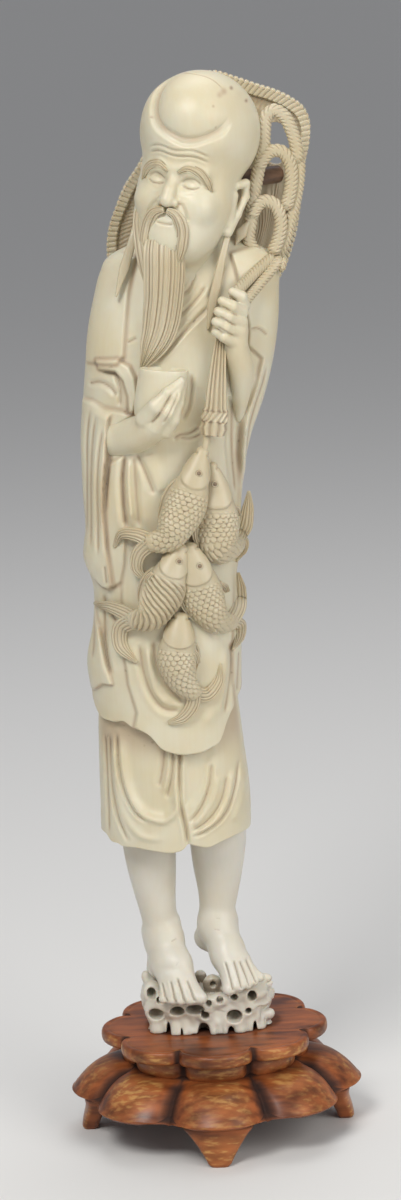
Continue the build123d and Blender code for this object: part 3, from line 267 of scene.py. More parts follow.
class Carving:
    """Points, the way each is pushed, the push in millimetres, and the stain left in the cuts, to which
    painted shade is added in places.
    """

    def __init__(self, points, ways, places, facing):
        self.points = points
        self.ways = ways
        self.places = places
        self.facing = facing
        self.push = np.zeros(points.shape[:-1])
        self.stain = np.zeros(points.shape[:-1])

    def near(self, path, reach):
        """The points close enough to a path to be touched by it."""
        path = np.asarray(path, float)
        low, high = path.min(0) - reach, path.max(0) + reach
        return np.all((self.places > low) & (self.places < high), -1) & (self.facing > 0)

    def groove(self, path, width=0.7, depth=0.5, stain=0.8):
        """A cut with rounded shoulders; it fades out at both ends."""
        path = curve(path, STROKE_STEPS)
        at = self.near(path, 4 * width)
        dist, _, share = path_distance(self.places[at], path)
        ends = smooth(share, 0, 0.12) * (1 - smooth(share, 0.88, 1))
        cut = np.exp(-((dist / width) ** 2)) * ends * self.facing[at]
        lift = np.exp(-(((dist - 1.9 * width) / width) ** 2)) * ends * self.facing[at]
        self.push[at] += -depth * cut + 0.25 * depth * lift
        line = 0.6 * np.exp(-((dist / (0.7 * width)) ** 2)) + 0.5 * np.exp(-((dist / 0.22) ** 2))
        self.stain[at] += stain * line * ends * self.facing[at]

    def ridge(self, path, width=1.2, height=0.6):
        """A rounded ridge; it fades out at both ends."""
        path = curve(path, STROKE_STEPS)
        at = self.near(path, 3 * width)
        dist, _, share = path_distance(self.places[at], path)
        ends = smooth(share, 0, 0.15) * (1 - smooth(share, 0.85, 1))
        rise = np.exp(-((dist / width) ** 2)) * ends * self.facing[at]
        self.push[at] += height * rise
        self.stain[at] -= 0.3 * rise

    def area(self, outline, height, edge=0.8, stain=0.7, fade=(900, 901)):
        """Raises or sinks a closed area, with a stained edge; it fades out between two heights."""
        at = self.near(outline, 4 * edge + 1)
        show = self.facing[at] * (1 - smooth(self.places[at][..., 1], *fade))
        dist = inside_distance(self.places[at], outline)
        self.push[at] += height * smooth(dist, -edge / 2, edge / 2) * show
        line = np.exp(-(((dist + 0.35 * edge * np.sign(height)) / (0.6 * edge)) ** 2))
        self.stain[at] += stain * line * show

    def lip(self, path, height, reach):
        """Raises the cloth left of a path that runs down: most at the path, none at a given reach from it."""
        path = curve(path, STROKE_STEPS)
        at = self.near(path, reach)
        dist, side, share = path_distance(self.places[at], path)
        left = -side * dist
        ends = smooth(share, 0, 0.08) * (1 - smooth(share, 0.55, 1)) * self.facing[at]
        self.push[at] += height * smooth(left, -LIP_EDGE, 0) * (1 - smooth(left, 0, reach)) * ends
        self.stain[at] += LIP_STAIN * np.exp(-(((left + LIP_EDGE) / LIP_EDGE) ** 2)) * ends

    def result(self):
        """The moved points."""
        return self.points + self.ways * self.push[..., None]


# Solids from distance fields: blobs joined smoothly, then skinned

ROD_STEPS = 24


class Field:
    """Distances on a grid of cells; below zero is inside."""

    def __init__(self, low, high, step=None):
        self.step = step or VOXEL
        self.low = np.asarray(low, float)
        counts = np.ceil((np.asarray(high, float) - self.low) / self.step).astype(int) + 1
        self.axes = [self.low[k] + self.step * np.arange(counts[k]) for k in range(3)]
        self.d = np.full(counts, 1e3, np.float32)

    def window(self, low, high):
        """The part of the grid between two corners, and its points."""
        cut = tuple(
            slice(max(0, int((low[k] - self.low[k]) / self.step)),
            max(0, int((high[k] - self.low[k]) / self.step) + 2))
            for k in range(3)
        )
        x, y, z = np.meshgrid(*(self.axes[k][cut[k]] for k in range(3)), indexing="ij")
        return cut, np.stack([x, y, z], -1).astype(np.float32)

    def mix(self, cut, other, soft, remove):
        """Joins another distance to the field, or takes it away, over a soft seam."""
        here = self.d[cut]
        if remove:
            other = -other
            blend = np.clip(0.5 - 0.5 * (here - other) / soft, 0, 1)
            self.d[cut] = np.maximum(here, other) + np.where(
                np.abs(here - other) < soft, soft * blend * (1 - blend), 0,
            )
        else:
            blend = np.clip(0.5 + 0.5 * (here - other) / soft, 0, 1)
            self.d[cut] = here * (1 - blend) + other * blend - soft * blend * (1 - blend)

    def limb(self, a, b, ra, rb, soft=0.8, remove=False):
        """A rod with round ends whose radius runs from ra to rb."""
        a, b = np.asarray(a, float), np.asarray(b, float)
        reach = max(ra, rb) + soft + 2.5
        cut, p = self.window(np.minimum(a, b) - reach, np.maximum(a, b) + reach)
        if p.size == 0:
            return
        d = b - a
        t = np.clip(((p - a) @ d) / max(d @ d, 1e-9), 0, 1)
        other = np.linalg.norm(p - a - t[..., None] * d, axis=-1) - (ra + (rb - ra) * t)
        self.mix(cut, other, soft, remove)

    def chain(self, points, radii, soft=0.8):
        """A string of rods through several points."""
        for a, b, ra, rb in zip(points, points[1:], radii, radii[1:]):
            self.limb(a, b, ra, rb, soft)

    def rope(self, points, radii):
        """A smooth rod through several points, whose radius changes smoothly too."""
        line = curve(np.column_stack([points, radii]), ROD_STEPS)
        self.chain(line[:, :3], line[:, 3], 0.5)

    def ball(self, centre, radii, soft=0.8, remove=False):
        """An ellipsoid along the axes of the frame."""
        radii = np.broadcast_to(np.asarray(radii, float), 3)
        centre = np.asarray(centre, float)
        reach = radii.max() + soft + 2.5
        cut, p = self.window(centre - reach, centre + reach)
        if p.size == 0:
            return
        q = p - centre
        k0 = np.linalg.norm(q / radii, axis=-1)
        k1 = np.linalg.norm(q / radii**2, axis=-1)
        self.mix(cut, k0 * (k0 - 1) / np.maximum(k1, 1e-6), soft, remove)

    def skin(self):
        """Points and quads of the zero surface: one point in each crossed cell, at the mean of its edges'
        zero crossings.
        """
        d = self.d
        inner = d < 0
        crossed = np.zeros(np.array(d.shape) - 1, np.int8)
        corners = [(i, j, k) for i in (0, 1) for j in (0, 1) for k in (0, 1)]
        shape = crossed.shape
        for i, j, k in corners:
            crossed += inner[i : i + shape[0], j : j + shape[1], k : k + shape[2]]
        cells = np.argwhere((crossed > 0) & (crossed < 8))
        number = np.full(shape, -1, np.int64)
        number[tuple(cells.T)] = np.arange(len(cells))
        total = np.zeros((len(cells), 3))
        hits = np.zeros(len(cells))
        for a in corners:
            for axis in range(3):
                if a[axis]:
                    continue
                b = list(a)
                b[axis] = 1
                da = d[tuple((cells + a).T)].astype(float)
                db = d[tuple((cells + b).T)].astype(float)
                cross = (da < 0) != (db < 0)
                t = np.where(cross, da / np.where(cross, da - db, 1), 0)
                place = np.asarray(a, float) + t[:, None] * (np.asarray(b, float) - a)
                total += np.where(cross[:, None], place, 0)
                hits += cross
        points = self.low + self.step * (cells + total / hits[:, None])
        quads = []
        for axis in range(3):
            one = np.zeros(3, int)
            one[axis] = 1
            b, c = (axis + 1) % 3, (axis + 2) % 3
            size = np.array(d.shape) - one
            first = inner[: size[0], : size[1], : size[2]]
            second = inner[one[0] :, one[1] :, one[2] :]
            edges = np.argwhere(first != second)
            within = (edges[:, b] > 0) & (edges[:, b] < d.shape[b] - 1)
            within &= (edges[:, c] > 0) & (edges[:, c] < d.shape[c] - 1)
            edges = edges[within]
            outward = first[tuple(edges.T)]
            step_b, step_c = np.zeros(3, int), np.zeros(3, int)
            step_b[b], step_c[c] = 1, 1
            ring = [edges - step_b - step_c, edges - step_c, edges, edges - step_b]
            quad = np.stack([number[tuple(r.T)] for r in ring], -1)
            quads.append(np.where(outward[:, None], quad, quad[:, ::-1]))
        return points, np.vstack(quads)

    def normals(self, points):
        """Outward directions at points, from the slope of the field."""
        slope = np.stack(np.gradient(self.d, self.step), -1)
        at = np.clip(np.round((points - self.low) / self.step).astype(int), 0, np.array(self.d.shape) - 1)
        return unit(slope[tuple(at.T)].astype(float))


def mesh_cavity(points, normals, faces, rounds=4):
    """How far each point lies below the mean of its neighbours, in millimetres."""
    pairs = np.vstack([faces[:, [0, 1]], faces[:, [1, 2]], faces[:, [2, 3]], faces[:, [3, 0]]])
    count = np.bincount(pairs.ravel(), minlength=len(points)).astype(float)
    mean = points.copy()
    for _ in range(rounds):
        total = np.stack(
            [
                np.bincount(pairs[:, 0], mean[pairs[:, 1], k], len(points))
                + np.bincount(pairs[:, 1], mean[pairs[:, 0], k], len(points))
                for k in range(3)
            ],
            -1,
        )
        mean = 0.5 * mean + 0.5 * total / np.maximum(count, 1)[:, None]
    return ((mean - points) * normals).sum(-1)


# Materials: node maths written as ordinary sums


class Value:
    """A shader socket that adds and multiplies like a number."""

    def __init__(self, tree, socket):
        self.tree = tree
        self.socket = socket

    def node(self, kind, inputs=(), output=0, **settings):
        """Adds one node, sets its properties and inputs, and gives back one of its outputs."""
        made = self.tree.nodes.new(kind)
        for key, value in settings.items():
            setattr(made, key, value)
        for key, value in dict(inputs).items():
            if isinstance(value, Value):
                self.tree.links.new(value.socket, made.inputs[key])
            else:
                made.inputs[key].default_value = value
        return Value(self.tree, made.outputs[output])

    def math(self, operation, other):
        return self.node("ShaderNodeMath", {0: self, 1: other}, operation=operation)

    def __add__(self, other):
        return self.math("ADD", other)

    def __mul__(self, other):
        return self.math("MULTIPLY", other)

    def __sub__(self, other):
        return self.math("SUBTRACT", other)

    def __rsub__(self, other):
        return (self * -1.0) + other

    def __pow__(self, other):
        return self.math("POWER", other)

    __radd__ = __add__
    __rmul__ = __mul__

    def clamp(self):
        return self.node("ShaderNodeClamp", {0: self})

    def ramp(self, low, high):
        """0 at low, 1 at high, and smooth between them."""
        return self.node("ShaderNodeMapRange", {0: self, 1: low, 2: high}, interpolation_type="SMOOTHSTEP")

    def blend(self, dark, light):
        """A colour between two others, by this value."""
        mix = self.tree.nodes.new("ShaderNodeMix")
        mix.data_type = "RGBA"
        self.tree.links.new(self.socket, mix.inputs[0])
        for slot, colour in ((6, dark), (7, light)):
            if isinstance(colour, Value):
                self.tree.links.new(colour.socket, mix.inputs[slot])
            else:
                mix.inputs[slot].default_value = (*colour, 1.0)
        return Value(self.tree, mix.outputs[2])


def new_material(name):
    """A material with its principled shader and its object coordinates in metres."""
    material = bpy.data.materials.new(name)
    material.use_nodes = True
    tree = material.node_tree
    shader = tree.nodes["Principled BSDF"]
    coordinates = tree.nodes.new("ShaderNodeTexCoord")
    return material, shader, Value(tree, coordinates.outputs["Object"])


def speckle(place, scale, detail=3.0, stretch=(1, 1, 1)):
    """Noise between 0 and 1, with its grain stretched along the axes."""
    mapped = place.node("ShaderNodeMapping", {"Vector": place, "Scale": stretch})
    return place.node("ShaderNodeTexNoise", {"Vector": mapped, "Scale": scale, "Detail": detail}, output=0)


def connect(value, socket):
    value.tree.links.new(value.socket, socket)


def ivory_material(name, pale, patina, stain_colour, dark_colour, warmth):
    """Polished ivory: yellow where it is handled, pink-brown in the cuts and where shade is painted, with
    fine upright growth lines.
    """
    material, shader, place = new_material(name)
    cut = place.node("ShaderNodeAttribute", attribute_name="stain", output=2)
    cloud = speckle(place, 55.0, 3.0).ramp(0.32, 0.68)
    grain = speckle(place, 1400.0, 2.0, (1, 1, 0.035))
    fleck = speckle(place, 1500.0, 2.0)
    pores = speckle(place, 520.0, 1.0).ramp(0.70, 0.80)
    tone = (cloud * 0.75 + grain * 0.35 + warmth).clamp()
    base = tone.blend(pale, patina)
    soft = cut.ramp(0.02, 0.75) * (0.55 + 0.45 * speckle(place, 160.0, 2.0))
    toned = (soft * 0.95).clamp().blend(base, stain_colour)
    deep = (cut.ramp(0.62, 1.1) * (0.3 + 0.4 * fleck) + pores * cut.ramp(0.2, 0.7) * 0.4).clamp()
    worn = (cut * -1.0).ramp(0.05, 0.6) * 0.5
    colour = worn.blend(deep.blend(toned, dark_colour), patina)
    connect(colour, shader.inputs["Base Color"])
    rough = 0.36 + 0.16 * soft + 0.08 * cloud
    connect(rough, shader.inputs["Roughness"])
    height = grain * 0.35 + fleck * 0.3
    bump = place.node("ShaderNodeBump", {"Height": height, "Strength": 0.12, "Distance": 0.0003})
    connect(bump, shader.inputs["Normal"])
    shader.inputs["Subsurface Weight"].default_value = 0.3
    shader.inputs["Subsurface Radius"].default_value = (1.0, 0.55, 0.3)
    shader.inputs["Subsurface Scale"].default_value = 0.0012
    shader.inputs["Specular IOR Level"].default_value = 0.5
    return material


aged_ivory = ivory_material(
    "aged_ivory", (0.66, 0.625, 0.49), (0.61, 0.535, 0.36), (0.44, 0.33, 0.22), (0.12, 0.08, 0.05), 0.0,
)
warm_ivory = ivory_material(
    "warm_ivory", (0.57, 0.51, 0.375), (0.50, 0.425, 0.275), (0.30, 0.215, 0.135), (0.08, 0.05, 0.03), 0.1,
)
white_ivory = ivory_material(
    "white_ivory", (0.66, 0.635, 0.56), (0.61, 0.56, 0.45), (0.30, 0.23, 0.16), (0.06, 0.04, 0.03), -0.1,
)


def wood_material():
    """Red-brown stain, black in the cuts and where shade is painted, rubbed back to gold on the high spots in
    broken flecks; the same gold paints a highlight along the apron's rim.
    """
    material, shader, place = new_material("stained_wood")
    cut = place.node("ShaderNodeAttribute", attribute_name="stain", output=2)
    streak = speckle(place, 420.0, 4.0, (0.22, 1.0, 1.0))
    cloud = speckle(place, 85.0, 4.0)
    fleck = speckle(place, 900.0, 5.0, (0.28, 0.7, 1.2))
    base = (streak * 0.6 + cloud * 0.6).ramp(0.38, 0.82).blend((0.085, 0.021, 0.007), (0.37, 0.105, 0.029))
    high = (cut * -1.0).ramp(0.0, 0.65)
    rub_and_sheen = (high * (0.12 + 0.88 * fleck.ramp(0.46, 0.68)) * (0.2 + 0.8 * cloud.ramp(0.36, 0.62))).clamp()
    rubbed_and_sheen = (rub_and_sheen * 0.85).blend(base, (0.53, 0.285, 0.088))
    colour = (cut.ramp(0.05, 0.9) * 0.88).blend(rubbed_and_sheen, (0.014, 0.007, 0.006))
    connect(colour, shader.inputs["Base Color"])
    connect(0.27 + 0.18 * streak + 0.1 * rub_and_sheen + 0.45 * cut.ramp(0.15, 0.7), shader.inputs["Roughness"])
    height = streak + fleck * 0.5
    bump = place.node("ShaderNodeBump", {"Height": height, "Strength": 0.18, "Distance": 0.0004})
    connect(bump, shader.inputs["Normal"])
    shader.inputs["Specular IOR Level"].default_value = 0.36
    return material


stained_wood = wood_material()


def horn_material():
    """Brown horn with darker streaks along it."""
    material, shader, place = new_material("brown_horn")
    streak = speckle(place, 260.0, 3.0, (0.4, 0.4, 1.6))
    colour = streak.ramp(0.3, 0.7).blend((0.055, 0.026, 0.014), (0.20, 0.11, 0.06))
    connect(colour, shader.inputs["Base Color"])
    connect(0.35 + 0.2 * streak, shader.inputs["Roughness"])
    return material


brown_horn = horn_material()


def add_warm_tube(name, rings, node, stain):
    """A tube of the warmer ivory that is part of the carving and stands for one node."""
    return add_tube(name, rings, "carving", warm_ivory, nodes=[node], slot="aged_ivory", stain=stain)


# Stand: lobed tiers worked out in polar form, radius and height for each angle


def lobed(angle, radius, lobe):
    """Radius of a ring of lobes at an angle, one of them facing -Y, and the place across a lobe (-1 to 1)."""
    pitch = 2 * math.pi / PETALS
    off = (angle + math.pi / 2 + pitch / 2) % pitch - pitch / 2
    centre = radius - lobe
    return centre * np.cos(off) + np.sqrt(lobe**2 - (centre * np.sin(off)) ** 2), off / (pitch / 2)


def turned(name, profile, angle, nodes, stain):
    """A piece from radius and height arrays of rows by angles."""
    radius, height = profile
    rings = np.stack([radius * np.cos(angle), radius * np.sin(angle), height], -1)
    return add_tube(name, rings, "stand", stained_wood, nodes=nodes, slot="stained_wood", stain=stain)


around = np.linspace(0, 2 * math.pi, grid_count(480), endpoint=False)
rim, across_petal = lobed(around, APRON_REACH, APRON_LOBE)
petal_side = np.abs(across_petal)
bulge = np.sqrt(1 - (0.94 * petal_side) ** 2)
valley = smooth(petal_side, 0.60, 1.0)
crease = np.exp(-(((1 - petal_side) / 0.045) ** 2))
PETAL_ROOT = 22.0
out = np.linspace(0, 1, 48)[:, None]
radius_out = PETAL_ROOT + (rim - PETAL_ROOT) * out
fall = 7.9 * out**2.9 + 0.5 * out
hump = smooth(out, 0.03, 0.42)
height_out = WAIST_Z + 0.4 - fall + hump * (2.5 * (bulge - 0.86) * (1 - 0.45 * out**6) - 0.45 * crease)
RIM_RISE = 1.8
lip = np.linspace(0, 1, 14)[1:, None]
lip_bottom = APRON_Z + RIM_RISE * smooth(petal_side, 0.45, 1.0)
roll = 0.5 * math.pi * lip
lip_z = lip_bottom + (height_out[-1] - lip_bottom) * np.cos(roll)
lip_r = rim + 0.35 * np.sin(2 * roll) - 0.9 * (1 - np.cos(roll))
under = np.linspace(0, 1, 10)[1:, None]
under_r = (rim - 0.9) * (1 - under) + 3.0 * under
under_z = APRON_Z + (lip_bottom - APRON_Z) * (1 - smooth(under, 0.0, 0.15))
profile_r = np.vstack([radius_out, lip_r, under_r])
profile_z = np.vstack([height_out, lip_z, under_z])
# Gold rubbed on the petals' middles is wear; the gold along the rim's edge is a painted highlight.
petal_rub_and_sheen = 0.7 * np.exp(-(((out - 0.6) / 0.36) ** 2)) * (1 - smooth(petal_side, 0.4, 0.92))
petal_rub_and_sheen = petal_rub_and_sheen + 0.2 * smooth(out, 0.9, 1.0)
# Dark stain in the valleys and creases; painted shade where the petals meet the waist and under the rolled
# rim, whose top is lighter as a painted highlight; the underside is kept dark.
petal_stain_and_shade = np.vstack(
    [
        0.8 * valley * hump + 0.95 * (1 - smooth(out, 0.03, 0.22)) + 0.3 * crease - petal_rub_and_sheen,
        0.7 * valley - 0.35 * (1 - lip) + 0.5 * lip**2,
        np.full_like(under_r, 0.6),
    ]
)
turned(
    "stand_apron_petals", (profile_r[::-1], profile_z[::-1]), around, ["stand_apron", "foot_dowels"],
    petal_stain_and_shade[::-1],
)

rim, across_petal = lobed(around, WAIST_REACH, WAIST_LOBE)
seam = smooth(np.abs(across_petal), 0.72, 1.0)
up = np.linspace(0, 1, 24)[:, None]
wall_z = WAIST_Z - 0.4 + (TOP_Z - WAIST_Z + 0.4) * up
wall_r = rim + 0.9 * np.sin(math.pi * up) ** 0.7 - 0.7 * seam - 0.5 * (1 - smooth(up, 0, 0.12))
# Dark stain in the seams and rubbed gold across each lobe; the waist's foot among the petals and its top
# under the plate are darker as painted shade.
wall_stain_and_shade = 0.9 * seam + 0.8 * (1 - smooth(up, 0.02, 0.3)) + 0.35 * smooth(up, 0.75, 1)
wall_stain_and_shade = wall_stain_and_shade - 0.55 * np.sin(math.pi * up) * (1 - seam)
turned(
    "stand_waist_lobes", (wall_r, np.broadcast_to(wall_z, wall_r.shape)), around,
    ["stand_waist", "stand_dowel"], wall_stain_and_shade,
)

rim, across_petal = lobed(around, TOP_REACH, TOP_LOBE)
seam = smooth(np.abs(across_petal), 0.78, 1.0)
edge = np.linspace(0, 1, 22)[:, None]
swing = math.pi * (edge - 0.5)
edge_r = rim - TOP_ROUND + TOP_ROUND * np.cos(swing) ** 0.5 - TOP_SEAM * seam
edge_z = (TOP_Z + DECK_Z) / 2 + (DECK_Z - TOP_Z) / 2 * np.sin(swing)
inner = np.linspace(1, 0, grid_count(80))[1:, None]
flat_reach = rim - TOP_ROUND - TOP_SEAM * seam - MIDDLE_REACH
top_r = MIDDLE_REACH + flat_reach * inner
deck_x = top_r * np.cos(around)
deck_y = top_r * np.sin(around)
left_gap, right_gap = (
    np.hypot(deck_x - ROCK_PEG_X - side * ROCK_PEG_SPREAD, deck_y - ROCK_PEG_Y) for side in (-1, 1)
)
peg_gap = np.minimum(left_gap, right_gap)
peg_hole = 1 - smooth(peg_gap, ROCK_PEG_RADIUS + 0.3, ROCK_PEG_RADIUS + 0.6)
top_z = DECK_Z - 0.25 * np.exp(-(((1 - inner) / 0.03) ** 2)) - SOCKET_DEPTH * peg_hole
bottom_r = MIDDLE_REACH + flat_reach * np.linspace(0, 1, 12)[:-1, None]
bottom_z = np.full_like(bottom_r, TOP_Z)
plate_r = np.vstack([bottom_r, edge_r, top_r])
plate_z = np.vstack([bottom_z, np.broadcast_to(edge_z, edge_r.shape), top_z])
# Painted shade on the deck: darker under the rock and just around its outline, and towards the middle.
beyond_rock = np.maximum(np.hypot(deck_x / 17, deck_y / 11) - 1, 0)
rock_contact_shade = np.exp(-((beyond_rock / 0.12) ** 2))
edge_rub = 0.8 * np.sin(math.pi * np.clip(edge * 1.1, 0, 1)) * (1 - seam)
# Dark seams and rubbed gold on the edge; the plate's underside, the lower part of its rounded edge and the
# peg sockets are darker as painted shade; the deck's outer edge is rubbed lighter.
plate_stain_and_shade = np.vstack(
    [
        np.full_like(bottom_r, 0.7),
        0.9 * seam + 0.5 * (1 - smooth(edge, 0, 0.3)) - edge_rub,
        0.5 * rock_contact_shade + 0.12 * (1 - inner) - 0.25 * smooth(inner, 0.9, 1) + 0.6 * peg_hole,
    ]
)
turned("stand_top_lobes", (plate_r, plate_z), around, ["stand_top"], plate_stain_and_shade)

FOOT_ANGLES = {"front": -90, "right": 0, "back": 90, "left": 180}
for side_name, degrees in FOOT_ANGLES.items():
    turn = math.radians(degrees)
    outward = np.array([math.cos(turn), math.sin(turn), 0])
    tangent = np.array([-math.sin(turn), math.cos(turn), 0])
    rise = np.linspace(0, 1, 46)
    half_width = 2.8 + 6.9 * rise**1.2 - 0.4 * (1 - smooth(rise, 0, 0.07))
    half_depth = 2.2 + 1.1 * rise - 0.3 * (1 - smooth(rise, 0, 0.07))
    centre_r = 32.3 + 2.3 * (1 - smooth(rise, 0.0, 0.75)) + 0.5 * rise
    middle = centre_r[:, None] * outward + rise[:, None] * np.array([0, 0, APRON_Z + 0.2])
    spin = np.linspace(0, 2 * math.pi, 64, endpoint=False)
    c = signed_power(np.cos(spin), 0.6)
    s = signed_power(np.sin(spin), 0.6)
    rings = middle[:, None] + half_depth[:, None, None] * c[None, :, None] * outward
    rings = rings + half_width[:, None, None] * s[None, :, None] * tangent
    # Each foot's outer face is rubbed gold; its top, under the apron, is darker as painted shade.
    foot_rub = 0.85 * smooth(c, 0.3, 0.8)[None] * (1 - smooth(rise, 0.65, 0.9))[:, None]
    foot_wear_and_shade = 0.7 * smooth(rise, 0.84, 1)[:, None] - foot_rub
    add_tube(
        f"foot_{side_name}", rings, "stand", stained_wood, nodes=[f"stand_foot_{side_name}"],
        slot="stained_wood", stain=foot_wear_and_shade,
    )


# Cloth: a leaning column of rounded sections. Each table row is height, left, right, half depth, centre y.
ROBE = [
    (104.0, -27.6, 10.9, 17.4, 0.0),
    (112.0, -27.9, 10.9, 17.7, 0.0),
    (122.0, -28.5, 11.2, 18.0, 0.0),
    (130.0, -29.2, 11.5, 18.2, 0.0),
    (140.0, -27.2, 11.9, 18.2, 0.0),
    (150.0, -26.8, 11.0, 18.3, 0.0),
    (158.0, -28.7, 12.3, 18.5, 0.0),
    (166.0, -27.8, 12.8, 18.6, 0.0),
    (176.0, -27.9, 13.8, 18.6, 0.0),
    (188.0, -27.9, 16.2, 18.4, 0.0),
    (198.0, -27.1, 20.0, 18.0, 0.0),
    (207.0, -26.1, 22.6, 17.2, 0.2),
    (217.0, -24.9, 24.4, 16.0, 0.6),
    (226.0, -22.8, 25.0, 14.4, 1.0),
    (232.0, -20.9, 25.0, 13.0, 1.2),
    (235.5, -18.8, 23.0, 11.6, 1.4),
    (238.0, -14.0, 18.5, 10.2, 1.6),
    (240.0, -7.0, 13.0, 8.0, 1.8),
    (241.0, -2.0, 9.0, 5.0, 2.0),
]
ROBE_HEM = [
    (-29.0, 123.0), (-28.2, 121.5), (-27.1, 118.0), (-23.4, 115.5), (-19.8, 115.9), (-17.8, 114.4),
    (-16.1, 114.0), (-13.2, 112.3), (-10.8, 109.2), (-7.4, 107.5), (-2.4, 107.0), (2.1, 107.9),
    (5.3, 110.3), (6.7, 114.1), (9.0, 118.4), (11.6, 122.1),
]
TROUSERS = [
    (79.0, -27.5, 11.9, 15.8, 0.0),
    (84.0, -27.7, 12.2, 16.0, 0.0),
    (92.0, -27.5, 12.2, 16.0, 0.0),
    (106.0, -27.2, 11.0, 15.8, 0.0),
    (118.0, -26.6, 10.0, 15.2, 0.0),
    (124.0, -26.0, 9.6, 14.8, 0.0),
]
TROUSER_HEM = [
    (-28.0, 83.6), (-26.2, 83.4), (-25.4, 82.3), (-23.4, 81.9), (-22.4, 81.4), (-20.6, 81.4), (-18.0, 81.3),
    (-13.6, 80.6), (-8.0, 80.2), (-6.0, 80.9), (-4.6, 82.2), (-2.7, 81.7), (1.2, 80.9), (3.9, 81.8),
    (7.5, 82.7), (12.4, 83.1),
]

CLOTH_POWER = 0.93


def cloth(table, hem, top, columns, rows, reach):
    """Rings of a garment from its hem up: sections of the table, with a hem whose height depends on x."""
    table = np.asarray(table, float)
    spin = np.linspace(-math.pi, math.pi, columns, endpoint=False)
    turn = spin - 0.42 * np.sin(spin)
    level = np.linspace(0, 1, rows)
    base = table[0, 0]

    def section(z):
        left, right, half_depth, centre_y = (along(table, z, k) for k in (1, 2, 3, 4))
        x = (left + right) / 2 + (right - left) / 2 * signed_power(np.sin(turn), CLOTH_POWER)
        return x, centre_y - half_depth * signed_power(np.cos(turn), CLOTH_POWER)

    hem_x, _ = section(np.full(columns, base + 4.0))
    hem = np.asarray(hem, float)
    hem_z = along(hem, hem_x, 1)
    z = base + (top - base) * level[:, None] + (hem_z - base) * np.clip(1 - level / reach, 0, 1)[:, None] ** 2
    x, y = section(z)
    return np.stack([x, y, z], -1), turn


def carve_front(rings):
    """A carving on the side that faces the viewer, drawn in x and z."""
    normals = ring_normals(rings)
    facing = smooth(-normals[..., 1], 0.02, 0.45)
    ways = unit(normals + 2.5 * facing[..., None] * np.array([0, -1.0, 0]))
    return Carving(rings, ways, rings[..., [0, 2]], facing)


def hemmed(rings, thickness, lift=1.2):
    """Adds a rounded edge below the first ring and turns the cloth in and up behind it."""
    middle = rings[0].mean(0)
    inward = unit((middle - rings[0]) * np.array([1, 1, 0]))
    drop = np.array([0, 0, 1.0])
    rounded = [
        rings[0] + inward * thickness * share - drop * 0.35 * math.sin(math.pi * share)
        for share in (0.25, 0.5, 0.75, 1.0)
    ]
    hidden = [rounded[-1] + drop * lift + inward * 0.3]
    return np.concatenate([np.stack(hidden + rounded[::-1]), rings])


def pad_rows(values, count):
    """Repeats the first row of an array, for rows added in front of it."""
    return np.concatenate([np.repeat(values[:1], count, axis=0), values])


columns = int(250 * GRID)
robe_rings, robe_turn = cloth(ROBE, ROBE_HEM, 241.0, columns, int(350 * GRID), 0.22)
robe = carve_front(robe_rings)
place_z = robe_rings[..., 2]
back = smooth(-np.cos(robe_turn), -0.2, 0.5)[None]
drape = np.sin(5 * robe_turn[None] + 0.05 * place_z) + 0.6 * np.sin(9 * robe_turn[None] - 0.03 * place_z)
robe.push += back * 0.3 * drape * (1 - smooth(place_z, 205, 228))
robe.stain += back * 0.35 * smooth(-drape, 0.6, 1.4) * (1 - smooth(place_z, 205, 228))

BACK_FOLDS = [
    [(14.0, 208.0), (10.0, 190.0), (5.0, 170.0), (1.0, 150.0), (-2.0, 130.0), (-3.0, 113.0)],
    [(4.0, 206.0), (0.0, 192.0), (-5.0, 172.0), (-8.5, 150.0), (-10.5, 130.0), (-11.2, 113.0)],
    [(-8.0, 206.0), (-11.0, 190.0), (-15.0, 170.0), (-18.0, 150.0), (-19.0, 130.0), (-19.4, 113.0)],
    [(20.0, 204.0), (15.4, 184.0), (10.6, 165.0), (7.2, 148.0), (5.2, 130.0)],
    [(-16.0, 206.0), (-19.0, 187.0), (-22.0, 167.0), (-23.6, 150.0)],
    [(9.0, 206.0), (6.6, 198.0), (3.6, 188.0), (1.4, 180.0)],
    [(-3.6, 134.0), (-5.8, 124.0), (-6.6, 112.0)],
    [(-12.6, 146.0), (-14.6, 132.0), (-15.4, 113.0)],
]
BACK_FOLD_STEP = np.array([1.8, 0.6])
robe_normals = ring_normals(robe_rings)
back_facing = smooth(robe_normals[..., 1], 0.02, 0.45)
back_folds = Carving(robe_rings, robe_normals, robe_rings[..., [0, 2]], back_facing)
for path in BACK_FOLDS:
    back_folds.groove(path, 0.8, 0.55, 0.5)
    back_folds.ridge(np.array(path) + BACK_FOLD_STEP, 1.4, 0.4)
robe.push += back_folds.push
robe.stain += back_folds.stain

SLEEVE_RIGHT_TOP = [
    (-11.5, 236.0), (-12.3, 232.7), (-13.6, 228.0), (-14.5, 222.2), (-15.2, 216.4), (-15.7, 211.5),
    (-17.5, 209.5), (-22.3, 209.5), (-34.0, 209.0), (-34.0, 242.0),
]
SLEEVE_RIGHT_HOOK = [
    (-22.6, 210.3), (-17.1, 210.8), (-14.2, 209.0), (-12.8, 206.0), (-12.5, 201.4), (-13.7, 197.0),
    (-14.9, 197.4), (-14.9, 201.4), (-15.9, 205.3), (-17.9, 207.6), (-22.3, 208.0),
]
SLEEVE_RIGHT_LOW = [
    (-34.0, 199.5), (-24.3, 199.7), (-21.1, 198.2), (-16.4, 197.6), (-13.7, 196.6), (-17.0, 194.6),
    (-20.4, 190.0), (-20.7, 184.5), (-21.6, 179.7), (-22.4, 171.0), (-22.2, 162.0), (-21.4, 156.0),
    (-21.0, 152.0), (-22.4, 151.0), (-23.9, 151.3), (-26.9, 154.0), (-29.2, 158.4), (-34.0, 160.0),
]
